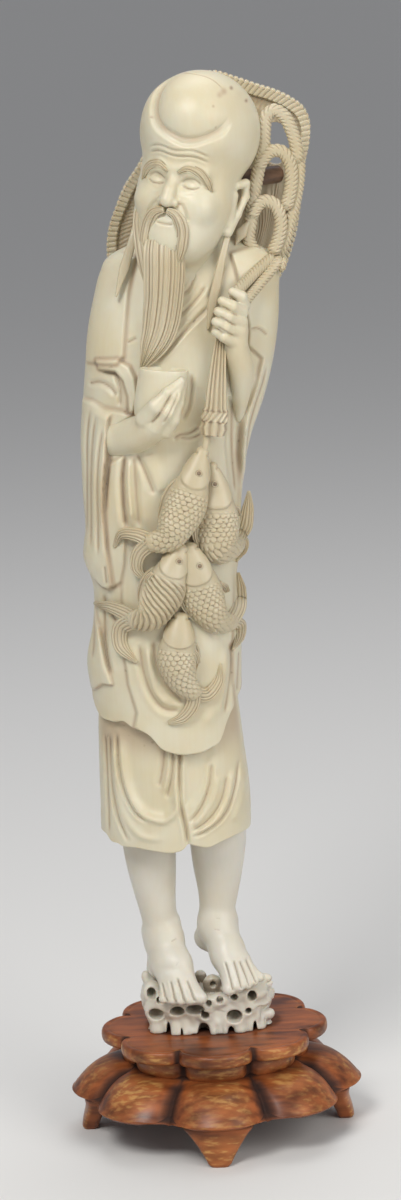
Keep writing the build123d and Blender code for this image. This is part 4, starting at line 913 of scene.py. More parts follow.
SLEEVE_RIGHT_LINING = [
    (-20.6, 184.0), (-17.0, 185.8), (-17.7, 180.0), (-17.6, 173.5), (-17.2, 166.0), (-18.0, 158.0),
    (-19.0, 153.2), (-21.0, 151.6), (-21.6, 158.0), (-22.2, 171.0),
]
SLEEVE_LEFT = [
    (13.0, 236.0), (15.0, 228.0), (16.6, 217.0), (16.2, 212.7), (18.3, 210.6), (19.8, 208.9), (18.0, 202.4),
    (15.6, 196.7), (14.1, 190.7), (13.2, 184.2), (13.6, 174.6), (13.0, 168.0), (14.5, 166.5), (30.0, 175.0),
    (34.0, 240.0),
]
SLEEVE_LEFT_OPENING = [
    (10.8, 199.8), (13.4, 197.5), (13.9, 190.0), (13.4, 184.0), (13.2, 177.3), (13.6, 168.5), (12.1, 167.7),
    (10.2, 175.8), (9.4, 187.1),
]
FRONT_PANEL = [
    (-17.8, 172.0), (-18.4, 160.0), (-18.8, 150.0), (-18.8, 132.2), (-18.3, 126.0), (-16.4, 118.4),
    (-17.3, 114.5), (-14.0, 112.0), (-10.0, 106.0), (6.0, 106.0), (9.0, 116.0), (8.4, 124.0), (8.9, 135.7),
    (10.0, 150.0), (10.0, 172.0),
]
LEFT_PANEL = [
    (-34.0, 128.0), (-29.7, 128.6), (-28.0, 137.6), (-26.6, 145.1), (-25.0, 138.4), (-23.9, 131.1),
    (-22.6, 125.6), (-25.1, 125.6), (-28.2, 122.6), (-34.0, 121.0),
]
robe.area(SLEEVE_RIGHT_TOP, 0.8, 1.0, 0.75)
robe.area(SLEEVE_RIGHT_LOW, 1.9, 1.0, 0.6)
robe.area(SLEEVE_RIGHT_LINING, 0.8, 1.0, 0.45)
robe.area(SLEEVE_RIGHT_HOOK, 1.9, 0.9, 0.8)
robe.area(SLEEVE_LEFT, 1.4, 0.9, 0.6)
robe.area(SLEEVE_LEFT_OPENING, -1.5, 1.2, 0.25)
robe.area(FRONT_PANEL, 0.7, 0.9, 0.6, fade=(143, 163))
robe.area(LEFT_PANEL, 1.4, 0.8, 0.6)
# Strokes: path in x and z, width, and depth or height
ROBE_GROOVES = [
    ([(7.3, 223.7), (5.7, 222.3), (-0.2, 217.0), (-4.7, 212.5), (-8.2, 209.7)], 0.55, 0.7),
    ([(6.2, 228.7), (4.4, 226.1), (1.7, 223.5), (-1.3, 221.0)], 0.45, 0.5),
    ([(3.8, 231.7), (1.1, 227.3), (-1.1, 226.5)], 0.45, 0.4),
    ([(11.0, 233.5), (8.6, 229.0), (6.4, 224.6)], 0.5, 0.4),
    ([(-12.0, 216.2), (-14.4, 214.9)], 0.4, 0.3),
    # The next groove runs along the cup's right edge; its stain is the cup's painted shadow on the chest.
    ([(1.6, 207.0), (1.4, 202.6), (0.4, 198.0), (-1.4, 194.6)], 0.5, 0.5),
    ([(-4.0, 190.1), (-2.2, 191.1), (0.3, 191.4), (3.2, 192.9)], 0.5, 0.6),
    ([(-2.3, 190.3), (1.1, 190.2), (3.3, 190.9)], 0.4, 0.4),
    ([(-13.6, 187.0), (-11.6, 182.2), (-9.3, 175.8)], 0.8, 0.8),
    ([(-16.4, 186.6), (-17.4, 180.0), (-17.5, 173.5), (-17.0, 166.9)], 0.9, 0.9),
    ([(-14.2, 186.6), (-14.1, 177.9), (-13.7, 167.0)], 0.9, 0.8),
    ([(-24.2, 198.6), (-25.3, 192.0), (-26.0, 178.9), (-27.2, 163.4)], 0.55, 0.6),
    ([(-22.6, 197.4), (-23.6, 192.3), (-25.0, 177.0), (-26.2, 160.2)], 0.5, 0.5),
    ([(-20.9, 194.5), (-22.2, 188.2), (-23.5, 175.2), (-24.4, 158.7)], 0.5, 0.6),
    ([(-22.8, 157.5), (-22.5, 152.5)], 0.4, 0.4),
    ([(-21.6, 207.2), (-18.1, 206.9), (-17.1, 204.5), (-17.1, 198.4)], 0.6, 0.8),
    ([(-25.4, 203.8), (-21.9, 204.6), (-19.4, 203.3), (-17.7, 201.2)], 0.7, 0.7),
    ([(16.6, 216.8), (18.6, 216.9), (21.3, 214.6)], 0.5, 0.6),
    ([(20.9, 208.0), (19.6, 202.8), (17.7, 197.9), (15.6, 191.2), (14.6, 183.6), (14.5, 172.0)], 0.5, 0.5),
    ([(11.9, 199.1), (11.5, 186.8), (12.1, 172.9)], 0.6, 0.5),
    ([(-23.5, 149.8), (-24.0, 143.7), (-24.1, 136.1), (-23.0, 127.6)], 0.7, 0.9),
    ([(-22.6, 145.9), (-20.4, 140.6), (-19.6, 134.0)], 0.6, 0.5),
    ([(-15.1, 137.4), (-14.2, 129.3), (-12.2, 123.1), (-9.4, 119.5), (-4.4, 118.7)], 0.9, 0.9),
    ([(-11.4, 138.4), (-10.7, 131.3), (-8.6, 126.1), (-3.8, 120.2)], 0.8, 0.9),
    ([(8.4, 135.7), (8.4, 129.0), (7.3, 121.6), (6.2, 115.7)], 0.8, 0.8),
    ([(11.0, 131.9), (9.9, 120.6)], 0.6, 0.6),
    ([(-28.0, 149.0), (-26.6, 139.0), (-27.4, 131.0)], 0.6, 0.6),
]
for path, width, depth in ROBE_GROOVES:
    robe.groove(path, width, depth)
ROBE_RIDGES = [
    ([(-12.9, 136.0), (-12.4, 129.0), (-10.6, 123.0), (-7.2, 120.6)], 1.1, 0.8),
    ([(-15.4, 185.6), (-15.8, 178.0), (-15.4, 169.0)], 0.8, 0.7),
    ([(18.9, 206.5), (17.0, 200.0), (14.9, 194.0), (13.9, 186.0), (14.0, 176.0)], 0.7, 0.8),
    ([(-10.6, 187.0), (-8.8, 182.0), (-7.4, 176.0)], 1.6, 0.5),
    ([(7.0, 134.0), (6.8, 127.0), (4.6, 119.0), (0.0, 113.6)], 1.6, 0.5),
    ([(-26.8, 196.0), (-27.2, 180.0), (-28.0, 164.0)], 0.8, 0.4),
]
for path, width, height in ROBE_RIDGES:
    robe.ridge(path, width, height)
SLEEVE_EDGE = [(-19.2, 198.0), (-20.1, 195.4), (-20.8, 189.5), (-21.3, 184.1), (-22.2, 175.5), (-22.4, 166.8)]
robe.lip(SLEEVE_EDGE, 2.2, 7.0)
HIDDEN_ROWS = 5
add_tube(
    "robe_cloth", hemmed(robe.result(), 1.5), "carving", aged_ivory,
    nodes=["robe", "waist_peg", "neck_peg", "wrist_pegs", "fish_pegs"], slot="aged_ivory",
    stain=pad_rows(robe.stain, HIDDEN_ROWS),
)

trouser_rings, trouser_turn = cloth(TROUSERS, TROUSER_HEM, 124.0, columns, int(150 * GRID), 0.30)
trousers = carve_front(trouser_rings)
place_z = trouser_rings[..., 2]
back = smooth(-np.cos(trouser_turn), -0.2, 0.4)[None]
drape = np.sin(6 * trouser_turn[None] + 0.04 * place_z) + 0.5 * np.sin(11 * trouser_turn[None])
trousers.push += back * 0.5 * drape
trousers.stain += back * 0.3 * smooth(-drape, 0.6, 1.3)
TROUSER_GROOVES = [
    ([(-5.7, 112.0), (-5.9, 106.3), (-6.3, 98.6), (-6.3, 93.6), (-5.1, 85.8), (-4.6, 80.5)], 0.55, 1.3),
    ([(-22.2, 112.5), (-21.5, 99.1), (-20.0, 93.8), (-18.0, 90.4), (-14.6, 87.9)], 0.45, 0.8),
    ([(-24.1, 112.2), (-23.8, 94.1), (-22.5, 87.5), (-20.1, 82.0)], 0.5, 0.8),
    ([(-25.3, 111.9), (-25.4, 94.9), (-25.6, 83.0)], 0.5, 0.8),
    ([(2.5, 103.6), (1.5, 97.3), (-0.9, 91.7), (-4.2, 87.6)], 0.6, 0.7),
    ([(6.4, 99.8), (4.4, 92.6), (1.1, 88.3), (-4.0, 85.3)], 0.5, 0.6),
    ([(9.7, 103.0), (8.0, 94.7), (5.1, 88.8), (-0.8, 84.9), (-3.9, 83.7)], 0.5, 0.6),
    ([(-9.4, 111.1), (-10.6, 102.4), (-11.8, 97.3)], 0.9, 0.5),
    ([(-7.6, 109.9), (-8.2, 100.8), (-9.9, 94.1)], 0.6, 0.6),
]
KNEE_FOLD = [
    (-20.9, 112.0), (-20.2, 99.0), (-18.4, 93.6), (-15.6, 90.2), (-10.4, 89.0), (-7.4, 92.0), (-7.2, 100.0),
]
TROUSER_RIDGES = [
    (KNEE_FOLD, 1.1, 0.9),
    ([(-23.0, 110.0), (-22.6, 96.0), (-21.0, 89.0), (-17.0, 84.6), (-10.0, 83.8)], 1.0, 0.6),
    ([(4.2, 100.0), (2.6, 94.0), (-0.4, 89.6), (-4.0, 86.8)], 0.8, 0.6),
    ([(8.0, 101.0), (6.2, 93.4), (3.0, 88.2), (-3.0, 84.8)], 0.9, 0.7),
    ([(11.0, 100.0), (10.0, 92.0), (7.0, 86.0)], 1.1, 0.4),
    ([(-8.6, 110.0), (-9.3, 101.0), (-10.8, 95.6)], 0.8, 0.6),
]
RIGHT_KNEE_HOLLOW = [
    (-20.4, 114.0), (-19.8, 99.0), (-18.0, 93.6), (-14.6, 90.8), (-10.6, 90.2), (-8.0, 92.6), (-7.0, 98.0),
    (-6.8, 114.0),
]
LEFT_KNEE_HOLLOW = [(-4.8, 114.0), (-4.8, 93.0), (-2.4, 94.0), (1.0, 99.5), (2.2, 104.0), (3.0, 114.0)]
trousers.area(RIGHT_KNEE_HOLLOW, -1.0, 4.0, 0.0)
trousers.area(LEFT_KNEE_HOLLOW, -0.7, 3.0, 0.0)
for path, width, depth in TROUSER_GROOVES:
    trousers.groove(path, width, depth, 0.7)
for path, width, height in TROUSER_RIDGES:
    trousers.ridge(path, width, height)
# Painted shade: the top of the trousers darkens towards the robe's hem, which hangs over it.
trousers.stain += 0.62 * smooth(place_z, 101.0, 113.0) * trousers.facing
add_tube(
    "trouser_cloth", hemmed(trousers.result(), 1.8, 0.4), "carving", aged_ivory,
    nodes=["trousers", "leg_pegs"], slot="aged_ivory",
    stain=pad_rows(trousers.stain, HIDDEN_ROWS),
)


def add_field(name, field, strokes, body, material, nodes, slot, dark=2.2, worn=0.8, extra=None):
    """Skins a field, cuts the strokes into its front, and darkens its hollows, as dirt and painted shade
    together.
    """
    points, faces = field.skin()
    normals = field.normals(points)
    facing = smooth(-normals[:, 1] + 0.6 * normals[:, 2], -0.1, 0.3)
    carved = Carving(points, normals, points[:, [0, 2]], facing)
    for path, width, depth, stain in strokes:
        carved.groove(path, width, depth, stain)
    # Hollows darker, as dirt and painted shade together; raised spots a little worn.
    hollow = mesh_cavity(points, normals, faces)
    carved.stain += np.clip(hollow * dark, -worn, 1.0)
    if extra is not None:
        carved.stain += extra(points, normals)
    return add_mesh(
        name, carved.result(), [faces], body, material, nodes=nodes, slot=slot, stain=carved.stain,
    )


# Rockwork: two rough tiers pierced with holes, on uneven grooved feet
ROCK_SOLE_Z = 37.4
ROCK_LIFT = 0.05
ROCK_X, ROCK_HALF_X = -1.3, 16.8
ROCK_Y, ROCK_HALF_Y = -0.4, 10.3
ROCK_POWER = 2.6


def rock_reach(x, y):
    """0 at the middle of the rock and 1 at its outline, which is a rounded oblong."""
    along_x = (np.abs(x - ROCK_X) / ROCK_HALF_X) ** ROCK_POWER
    return (along_x + (np.abs(y - ROCK_Y) / ROCK_HALF_Y) ** ROCK_POWER) ** (1 / ROCK_POWER)


def rock_edge(x, side):
    """The y of the rock's outline at x, on its front (-1) or its back (1)."""
    inside = np.clip(1 - (np.abs(x - ROCK_X) / ROCK_HALF_X) ** ROCK_POWER, 0, 1)
    return ROCK_Y + side * ROCK_HALF_Y * inside ** (1 / ROCK_POWER)


ROCK_LOW, ROCK_HIGH = (-22, -14, 27), (19.5, 13, 47)
rock = Field(ROCK_LOW, ROCK_HIGH, VOXEL * 0.9)
_, cells = rock.window(ROCK_LOW, ROCK_HIGH)
outline_gap = (rock_reach(cells[..., 0], cells[..., 1]) - 1) * 10
outline_gap = outline_gap + 0.7 * noise(cells, 7.0, 4) + 0.3 * noise(cells, 3.2, 5)
lower_tier = np.maximum(outline_gap + 0.35, np.abs(cells[..., 2] - 32.2) - 3.9)
upper_tier = np.maximum(outline_gap, np.abs(cells[..., 2] - 36.0) - 1.5 + 0.25 * noise(cells, 5.0, 6))
rock.d = np.minimum(lower_tier, upper_tier).astype(np.float32)
# Lumps: centre and radii
ROCK_LUMPS = [
    ((-16.0, -3.8, 38.2), (2.7, 2.5, 3.4)), ((-16.6, 0.0, 36.0), (2.8, 4.0, 5.6)),
    ((-17.8, -2.0, 42.2), (1.2, 1.2, 1.7)), ((-16.8, -1.6, 40.4), (1.5, 1.5, 2.0)),
    ((14.4, -4.4, 31.2), (2.0, 1.8, 1.7)), ((-16.0, 6.0, 34.0), (3.0, 3.4, 4.6)),
    ((-7.0, 8.6, 34.8), (4.4, 2.2, 4.6)), ((4.0, 8.8, 34.6), (5.0, 2.2, 4.2)),
    ((13.6, 4.0, 33.6), (2.4, 3.6, 4.2)), ((8.6, -6.2, 38.0), (6.0, 4.4, 2.5)),
    ((7.0, -1.0, 37.6), (6.4, 5.0, 2.7)), ((12.0, -5.2, 39.2), (2.6, 2.2, 1.5)),
    ((13.8, -3.4, 40.8), (2.3, 1.6, 1.3)), ((0.0, -2.6, 39.4), (2.6, 1.9, 2.8)),
    ((-3.2, 6.6, 39.0), (1.7, 1.5, 1.7)),
]
for centre, radii in ROCK_LUMPS:
    rock.ball(centre, radii, 0.8)
# Feet: x and radius
FRONT_FEET = [
    (-15.4, 1.7), (-10.2, 1.4), (-7.6, 1.2), (0.0, 1.3), (2.6, 1.1), (6.9, 1.5), (9.4, 1.1), (12.6, 1.2),
]
BACK_FEET = [(-13.0, 1.3), (-7.6, 1.5), (-1.4, 1.1), (3.4, 1.6), (10.2, 1.3)]
for side, feet in ((-1, FRONT_FEET), (1, BACK_FEET)):
    for x, radius in feet:
        y = rock_edge(x, side) - side * 1.0
        rock.limb((x, y - side * 0.8, 31.4), (x, y, 28.6), radius, radius + 0.2, 1.0)
# Arches between the feet: x, half width and top, then x alone for plain ones and for slits
ROCK_ARCHES = [(-12.2, 0.6, 31.2), (-8.7, 0.3, 29.8), (-2.8, 1.7, 31.4), (4.5, 0.9, 30.2), (10.9, 0.55, 30.6)]
for x, half_width, top in ROCK_ARCHES:
    rock.ball((x, rock_edge(x, -1), DECK_Z), (half_width, 5.0, top - DECK_Z), 0.3, remove=True)
BACK_ARCHES = [-10.4, -4.6, 1.0, 6.8]
for x in BACK_ARCHES:
    rock.ball((x, rock_edge(x, 1), DECK_Z), (1.3, 5.0, 2.6), 0.3, remove=True)
FOOT_SLITS = [-6.7, -5.3, 0.7, 2.2, 8.9, 13.6]
for x in FOOT_SLITS:
    y = rock_edge(x, -1)
    rock.limb((x, y - 0.2, 30.3), (x, y - 0.2, 27.5), 0.3, 0.3, 0.2, remove=True)
# Holes: across, height and their half sizes; each one on the front is cut into a soft collar
ROCK_HOLES = [
    (-16.4, 38.9, 1.25, 1.5), (-14.4, 37.4, 0.7, 0.9), (-15.4, 33.4, 2.0, 1.6), (-9.7, 34.7, 1.95, 1.25),
    (-5.0, 35.1, 2.5, 1.35), (-2.3, 33.4, 1.1, 1.1), (-1.2, 36.8, 0.8, 0.9), (1.8, 37.5, 0.9, 1.0),
    (5.6, 38.0, 1.0, 0.85), (10.4, 37.9, 1.25, 1.45), (5.5, 32.6, 2.1, 1.85), (9.3, 33.8, 0.85, 0.85),
]
for x, z, across, tall in ROCK_HOLES:
    rock.ball((x, rock_edge(x, -1) + 1.2, z), (across + 0.9, 1.5, tall + 0.8), 1.6)
for x, z, across, tall in ROCK_HOLES:
    rock.ball((x, rock_edge(x, -1) - 0.6, z), (across, 7.0, tall), 0.3, remove=True)
BACK_HOLES = [(-13.0, 34.5, 1.5), (-7.0, 35.8, 1.9), (-0.6, 33.6, 1.2), (5.4, 35.6, 2.0), (11.0, 33.6, 1.3)]
for x, z, radius in BACK_HOLES:
    rock.ball((x, rock_edge(x, 1) + 0.6, z), (radius * 1.2, 7.0, radius), 0.3, remove=True)
SIDE_HOLES = [(-3.6, 33.6, 1.1), (1.8, 34.4, 1.8), (5.6, 32.4, 1.0)]
for y, z, radius in SIDE_HOLES:
    for x in (-18.4, 16.0):
        rock.ball((x, y, z), (6.0, radius, radius), 0.3, remove=True)
rock.ball((0.2, -4.6, 39.9), (0.8, 2.4, 0.85), 0.25, remove=True)
rock.d = np.maximum(rock.d, DECK_Z + ROCK_LIFT - rock.axes[2][None, None, :])


def pit_shade(points, normals):
    """Painted shade in the depths of the holes: how far a point lies inside the rock's outline."""
    deep = 10 * (1 - rock_reach(points[:, 0], points[:, 1]))
    return 0.95 * smooth(deep, 0.9, 3.4) * (1 - smooth(normals[:, 2], 0.2, 0.7))


add_field(
    "rock_openwork", rock, [], "carving", white_ivory, ["rock_base", "sole_pegs"], "white_ivory",
    dark=2.0, worn=0.6, extra=pit_shade,
)
for label, side in (("left", -1), ("right", 1)):
    rise = np.array([0.0, 0.05, 0.3, 1.5, 2.4, 6.0])
    peg_x = np.full(len(rise), ROCK_PEG_X + side * ROCK_PEG_SPREAD)
    peg_y = np.full(len(rise), ROCK_PEG_Y)
    middle = np.column_stack([peg_x, peg_y, DECK_Z - ROCK_PEG_DEPTH + rise])
    width = ROCK_PEG_RADIUS * np.array([0.75, 0.85, 1.0, 1.0, 1.0, 1.0])
    peg_rings, _ = sweep(middle, width, width, 32)
    add_tube(
        f"rock_peg_{label}", peg_rings, "carving", white_ivory, nodes=["rock_pegs"], slot="ivory_pegs",
        stain=np.full(peg_rings.shape[:2], 0.2),
    )

# Legs: rods and blobs joined smoothly; toes are separate rods, with cuts between them
RIGHT_TOES = [
    (-13.2, -12.0, 38.9), (-10.8, -13.2, 38.8), (-8.5, -13.8, 38.8), (-6.0, -14.0, 38.9),
    (-3.2, -13.6, 39.2),
]
LEFT_TOES = [
    (12.8, -9.6, 43.0), (11.1, -11.4, 42.5), (9.2, -12.4, 42.0), (7.0, -13.0, 41.6), (4.3, -12.8, 41.0),
]
TOE_RADII = [1.15, 1.2, 1.3, 1.35, 1.7]


def leg(shin, radii, heel, heel_radius, instep, instep_radii, toes, bones, inner, inner_radii):
    """One bare leg from the trouser hem to the toes."""
    joints = np.array(shin + [heel] + toes)
    field = Field(joints.min(0) - (9, 9, 4), joints.max(0) + (9, 8, 1))
    field.rope(shin, radii)
    field.limb(shin[-1], heel, radii[-1] * 0.95, heel_radius, 3.0)
    field.limb(heel, instep[-1], heel_radius * 0.8, 2.2, 2.4)
    field.limb(toes[0], toes[-1], 0.95, 1.25, 0.5)
    field.chain(inner, inner_radii, 3.2)
    field.chain([shin[-1]] + instep, [radii[-1] * 0.95] + instep_radii, 2.2)
    for toe, radius in zip(np.array(toes), TOE_RADII):
        root = 0.45 * toe + 0.55 * np.array(instep[0]) + (0, 0, 0.4)
        knuckle = 0.72 * toe + 0.28 * np.array(instep[0]) + (0, 0, 0.1)
        field.chain([root, knuckle], [2.3, radius * 1.05], 1.4)
        field.limb(knuckle, toe, radius * 1.05, radius, 0.75)
    for bone in bones:
        field.ball(bone, (1.2, 1.4, 1.4), 2.2)
    return field


right_leg = leg(
    shin=[
        (-15.3, 0.6, 86.0), (-15.2, 0.8, 78.0), (-14.7, 1.2, 70.0),
        (-14.1, 1.4, 63.0), (-13.4, 1.4, 57.0), (-12.9, 1.2, 52.0),
    ],
    radii=[7.1, 6.9, 6.1, 5.1, 4.5, 4.4],
    heel=(-13.4, 4.2, 41.8),
    heel_radius=4.0,
    instep=[(-11.8, -3.5, 46.2), (-9.0, -8.6, 40.9)],
    instep_radii=[4.3, 3.0],
    toes=RIGHT_TOES,
    bones=[(-9.6, 1.4, 56.6), (-16.5, 2.0, 54.0)],
    inner=[(-11.2, -0.6, 52.0), (-8.9, -5.6, 46.4), (-5.6, -11.0, 40.6)],
    inner_radii=[3.7, 3.2, 2.0],
)
right_leg.d = np.maximum(right_leg.d, ROCK_SOLE_Z - right_leg.axes[2][None, None, :])
RIGHT_FOOT_CUTS = [
    ([(-13.6, 43.0), (-12.1, 38.2)], 0.3, 0.5, 0.75), ([(-11.2, 43.6), (-9.8, 38.0)], 0.3, 0.5, 0.75),
    ([(-9.4, 44.4), (-7.2, 38.0)], 0.3, 0.55, 0.8), ([(-6.8, 44.0), (-4.6, 38.4)], 0.3, 0.55, 0.75),
    ([(-10.6, 52.6), (-9.0, 53.2)], 0.25, 0.06, 0.5), ([(-9.6, 47.0), (-8.8, 48.2)], 0.25, 0.04, 0.3),
]
add_field(
    "right_leg_flesh", right_leg, RIGHT_FOOT_CUTS, "carving", white_ivory, ["right_leg"], "white_ivory",
    dark=1.6, worn=0.4,
)
left_leg = leg(
    shin=[
        (3.4, 0.6, 86.0), (3.1, 0.8, 77.0), (2.9, 1.2, 71.0),
        (2.7, 1.4, 65.0), (2.2, 1.4, 59.5), (1.9, 1.0, 55.5),
    ],
    radii=[7.5, 7.2, 6.4, 5.3, 4.6, 4.4],
    heel=(-0.7, 4.6, 50.6),
    heel_radius=3.4,
    instep=[(4.6, -3.6, 49.0), (7.6, -7.8, 44.2)],
    instep_radii=[4.1, 3.0],
    toes=LEFT_TOES,
    bones=[(5.4, 1.6, 56.6)],
    inner=[(2.6, 0.2, 54.4), (4.0, -5.6, 47.6), (5.2, -10.0, 43.6)],
    inner_radii=[3.8, 3.2, 2.2],
)
LEFT_FOOT_CUTS = [
    ([(3.5, 48.0), (4.6, 44.5), (5.7, 40.6)], 0.3, 0.5, 0.75), ([(5.8, 48.4), (8.0, 41.0)], 0.3, 0.55, 0.8),
    ([(7.5, 48.2), (10.1, 41.4)], 0.3, 0.55, 0.75), ([(9.2, 48.2), (12.0, 41.8)], 0.3, 0.5, 0.75),
    ([(1.0, 55.4), (2.8, 55.2)], 0.25, 0.05, 0.4), ([(1.6, 58.2), (3.0, 58.0)], 0.25, 0.04, 0.3),
]
add_field(
    "left_leg_flesh", left_leg, LEFT_FOOT_CUTS, "carving", white_ivory, ["left_leg"], "white_ivory",
    dark=1.6, worn=0.4,
)


# Fish: swept bodies with overlapping scales, striped fins and forked tails


def robe_front(x, z):
    """The robe's plain front face before carving, at x and z."""
    left, right, half_depth, centre_y = (along(ROBE, z, k) for k in (1, 2, 3, 4))
    across = np.clip(np.abs((x - (left + right) / 2) / ((right - left) / 2)), 0, 1) ** (1 / CLOTH_POWER)
    return centre_y - half_depth * np.sqrt(1 - across**2) ** CLOTH_POWER


def in_front(points, lift):
    """Puts x, z points in front of the robe by a given lift."""
    points = np.asarray(points, float)
    x, z = points[..., 0], points[..., 1]
    return np.stack([x, robe_front(x, z) - lift, z], -1)


SCALE_LENGTH = 1.2
SCALE_WIDTH = 1.5


def scale_height(run, across):
    """Height of overlapping scales, 0 to 1: rows half a scale out of step, each on the row behind it."""
    place = run / SCALE_LENGTH
    height = np.zeros_like(run)
    for back_step in (0, 1, 2):
        row = np.floor(place) - back_step
        side = across / SCALE_WIDTH + 0.5 * (row % 2)
        off = np.abs(side - np.round(side)) / 0.5
        rear = 0.72 + 1.0 * np.sqrt(np.clip(1 - off**2, 0, 1))
        into = (place - row) / rear
        height = np.where(into < 1, (0.35 + 0.65 * into**1.2) * (1 - 0.4 * off**2), height)
    return height


def rib_height(run, across):
    """Height of slanting ribs, 0 to 1, broken into long scales."""
    phase = (0.894 * run + 0.447 * across) / 1.25
    length = (0.447 * run - 0.894 * across) / 2.6 + 0.5 * (np.floor(phase) % 2)
    return (0.5 + 0.5 * np.cos(2 * math.pi * phase)) ** 0.7 * (0.72 + 0.28 * np.abs(np.sin(math.pi * length)))


def fin(name, path, half_width, thickness, rays, lift, node):
    """A flat striped fin along a path; the widths run from root to tip."""
    rows = grid_count(44)
    line = curve(path, rows)
    share = np.linspace(0, 1, rows)
    width = straight(half_width, share)
    thick = np.interp(share, [0, 0.5, 1], [thickness, thickness * 0.9, thickness * 0.45])
    spine = in_front(line, straight(lift, share))
    rings, turn = sweep(spine, width, thick, grid_count(64), power=2.4)
    ribs = np.cos(np.sin(turn)[None] * rays * math.pi) * smooth(np.cos(turn), -0.1, 0.5)[None]
    ribs = ribs * smooth(width, 0.2, 0.9)[:, None]
    rings = rings + ring_normals(rings) * (0.16 * ribs)[..., None]
    add_warm_tube(name, rings, node, np.clip(-0.55 * ribs, -0.35, 0.6) + 0.1)


fish_skins = {}


def fish(node, spine, half_width, lift, gill, fins, side_fin, dorsal_side, skin_height=scale_height):
    """One fish hanging from its mouth: body, two tail fins, one side fin and a back fin."""
    rows, columns = int(200 * GRID), int(124 * GRID)
    path = curve(spine, rows)
    share = np.linspace(0, 1, rows)
    widths = spread(half_width, share)
    widths = widths * np.sqrt(np.clip(share / 0.02, 0.05, 1))
    line = in_front(path, lift)
    rings, turn = sweep(line, widths, np.minimum(widths * 0.85, 4.0), columns, power=2.2)
    run = np.concatenate([[0], np.cumsum(np.linalg.norm(np.diff(line, axis=0), axis=1))])[:, None]
    arc = (turn - 2 * math.pi * (turn > math.pi))[None] * widths[:, None] * 0.95
    girth = np.abs(turn - 2 * math.pi * (turn > math.pi))[None]
    body = smooth(share[:, None], gill + 0.02, gill + 0.06) * (1 - smooth(share[:, None], 0.93, 1.0))
    scaly = body * (1 - smooth(girth, 1.15, 1.45))
    gill_edge = gill - 0.10 * (girth / 1.2) ** 2
    cheek = smooth(gill_edge - share[:, None], -0.012, 0.012)
    mouth = np.exp(-(((share[:, None] - 0.055) / 0.012) ** 2)) * smooth(girth, 0.5, 0.9)
    push = scaly * 0.85 * (skin_height(run, arc) - 0.6) + 0.5 * cheek - 0.3 * mouth
    rings = rings + ring_normals(rings) * push[..., None]
    # Painted shadow below each scale's free edge, from the hollows between scales, and painted shade on the
    # flanks that turn back towards the robe.
    hollow = cavity(push, 3)
    stain = np.clip(hollow * 4.0, -0.5, 0.8) + 0.6 * smooth(girth, 1.2, 1.8)
    add_warm_tube(f"{node}_body", rings, node, stain)
    fish_skins[node] = rings
    for label, (fin_path, fin_width) in zip(("tail_a", "tail_b"), fins):
        fin(f"{node}_{label}", fin_path, fin_width, 1.15, 5, (lift, lift * 0.7, 1.1), node)
    side_path, side_width = side_fin
    fin(f"{node}_side_fin", side_path, side_width, 0.7, 4, (lift + 2.2, lift + 1.6), node)
    back_path = path[int(rows * 0.32) : int(rows * 0.8)]
    back_widths = widths[int(rows * 0.32) : int(rows * 0.8)]
    way = unit(np.gradient(back_path, axis=0))
    out_way = np.stack([way[:, 1], -way[:, 0]], -1) * dorsal_side
    ridge_line = back_path + out_way * (back_widths * 0.97)[:, None]
    ridge_points = ridge_line[:: max(1, len(ridge_line) // 8)]
    fin(f"{node}_back_fin", ridge_points, (0.3, 1.1, 1.2, 0.9, 0.3), 1.0, 3, (lift * 0.6, lift * 0.6), node)


fish(
    "fish_lower",
    spine=[(-3.9, 144.8), (-4.8, 138.5), (-5.4, 132.0), (-4.0, 126.8), (-0.8, 122.8)],
    half_width=(1.2, 4.0, 5.1, 3.9, 2.0),
    lift=1.8,
    gill=0.36,
    fins=[
        ([(-1.6, 123.6), (2.0, 122.6), (4.8, 125.0), (5.9, 130.0)], (2.0, 1.9, 1.5, 0.3)),
        ([(-1.4, 123.8), (-2.0, 120.2), (-4.4, 117.2), (-8.5, 115.8)], (2.0, 1.9, 1.6, 0.4)),
    ],
    side_fin=([(-1.8, 136.0), (-0.6, 133.8), (-0.2, 131.6)], (0.6, 1.0, 0.8)),
    dorsal_side=-1,
)
fish(
    "fish_middle_right",
    spine=[(-1.2, 163.0), (0.6, 155.5), (2.4, 147.8), (5.2, 142.4), (9.3, 140.2)],
    half_width=(1.2, 3.8, 5.5, 4.4, 2.0),
    lift=2.6,
    gill=0.38,
    fins=[
        ([(8.6, 140.6), (11.2, 143.6), (11.6, 147.0), (11.4, 151.4)], (2.0, 2.2, 1.8, 0.5)),
        ([(8.8, 140.8), (11.0, 139.0), (11.2, 136.0), (9.1, 132.6)], (1.8, 1.9, 1.5, 0.3)),
    ],
    side_fin=([(6.6, 152.0), (7.8, 150.6), (8.4, 149.0)], (0.5, 0.9, 0.7)),
    dorsal_side=1,
)
fish(
    "fish_middle_left",
    spine=[(-2.7, 163.0), (-5.8, 156.5), (-9.0, 149.5), (-12.4, 144.6), (-16.8, 143.5)],
    half_width=(1.2, 3.9, 5.6, 4.5, 2.2),
    lift=3.0,
    gill=0.33,
    fins=[
        ([(-15.8, 143.8), (-19.2, 145.6), (-22.8, 146.4), (-26.3, 145.7)], (2.2, 1.9, 1.4, 0.4)),
        ([(-15.8, 143.6), (-19.4, 141.6), (-20.0, 137.0), (-15.7, 132.1)], (2.2, 2.2, 1.9, 0.4)),
    ],
    side_fin=([(-10.6, 156.6), (-11.8, 155.0), (-12.0, 153.2)], (0.6, 1.0, 0.8)),
    dorsal_side=1,
    skin_height=rib_height,
)
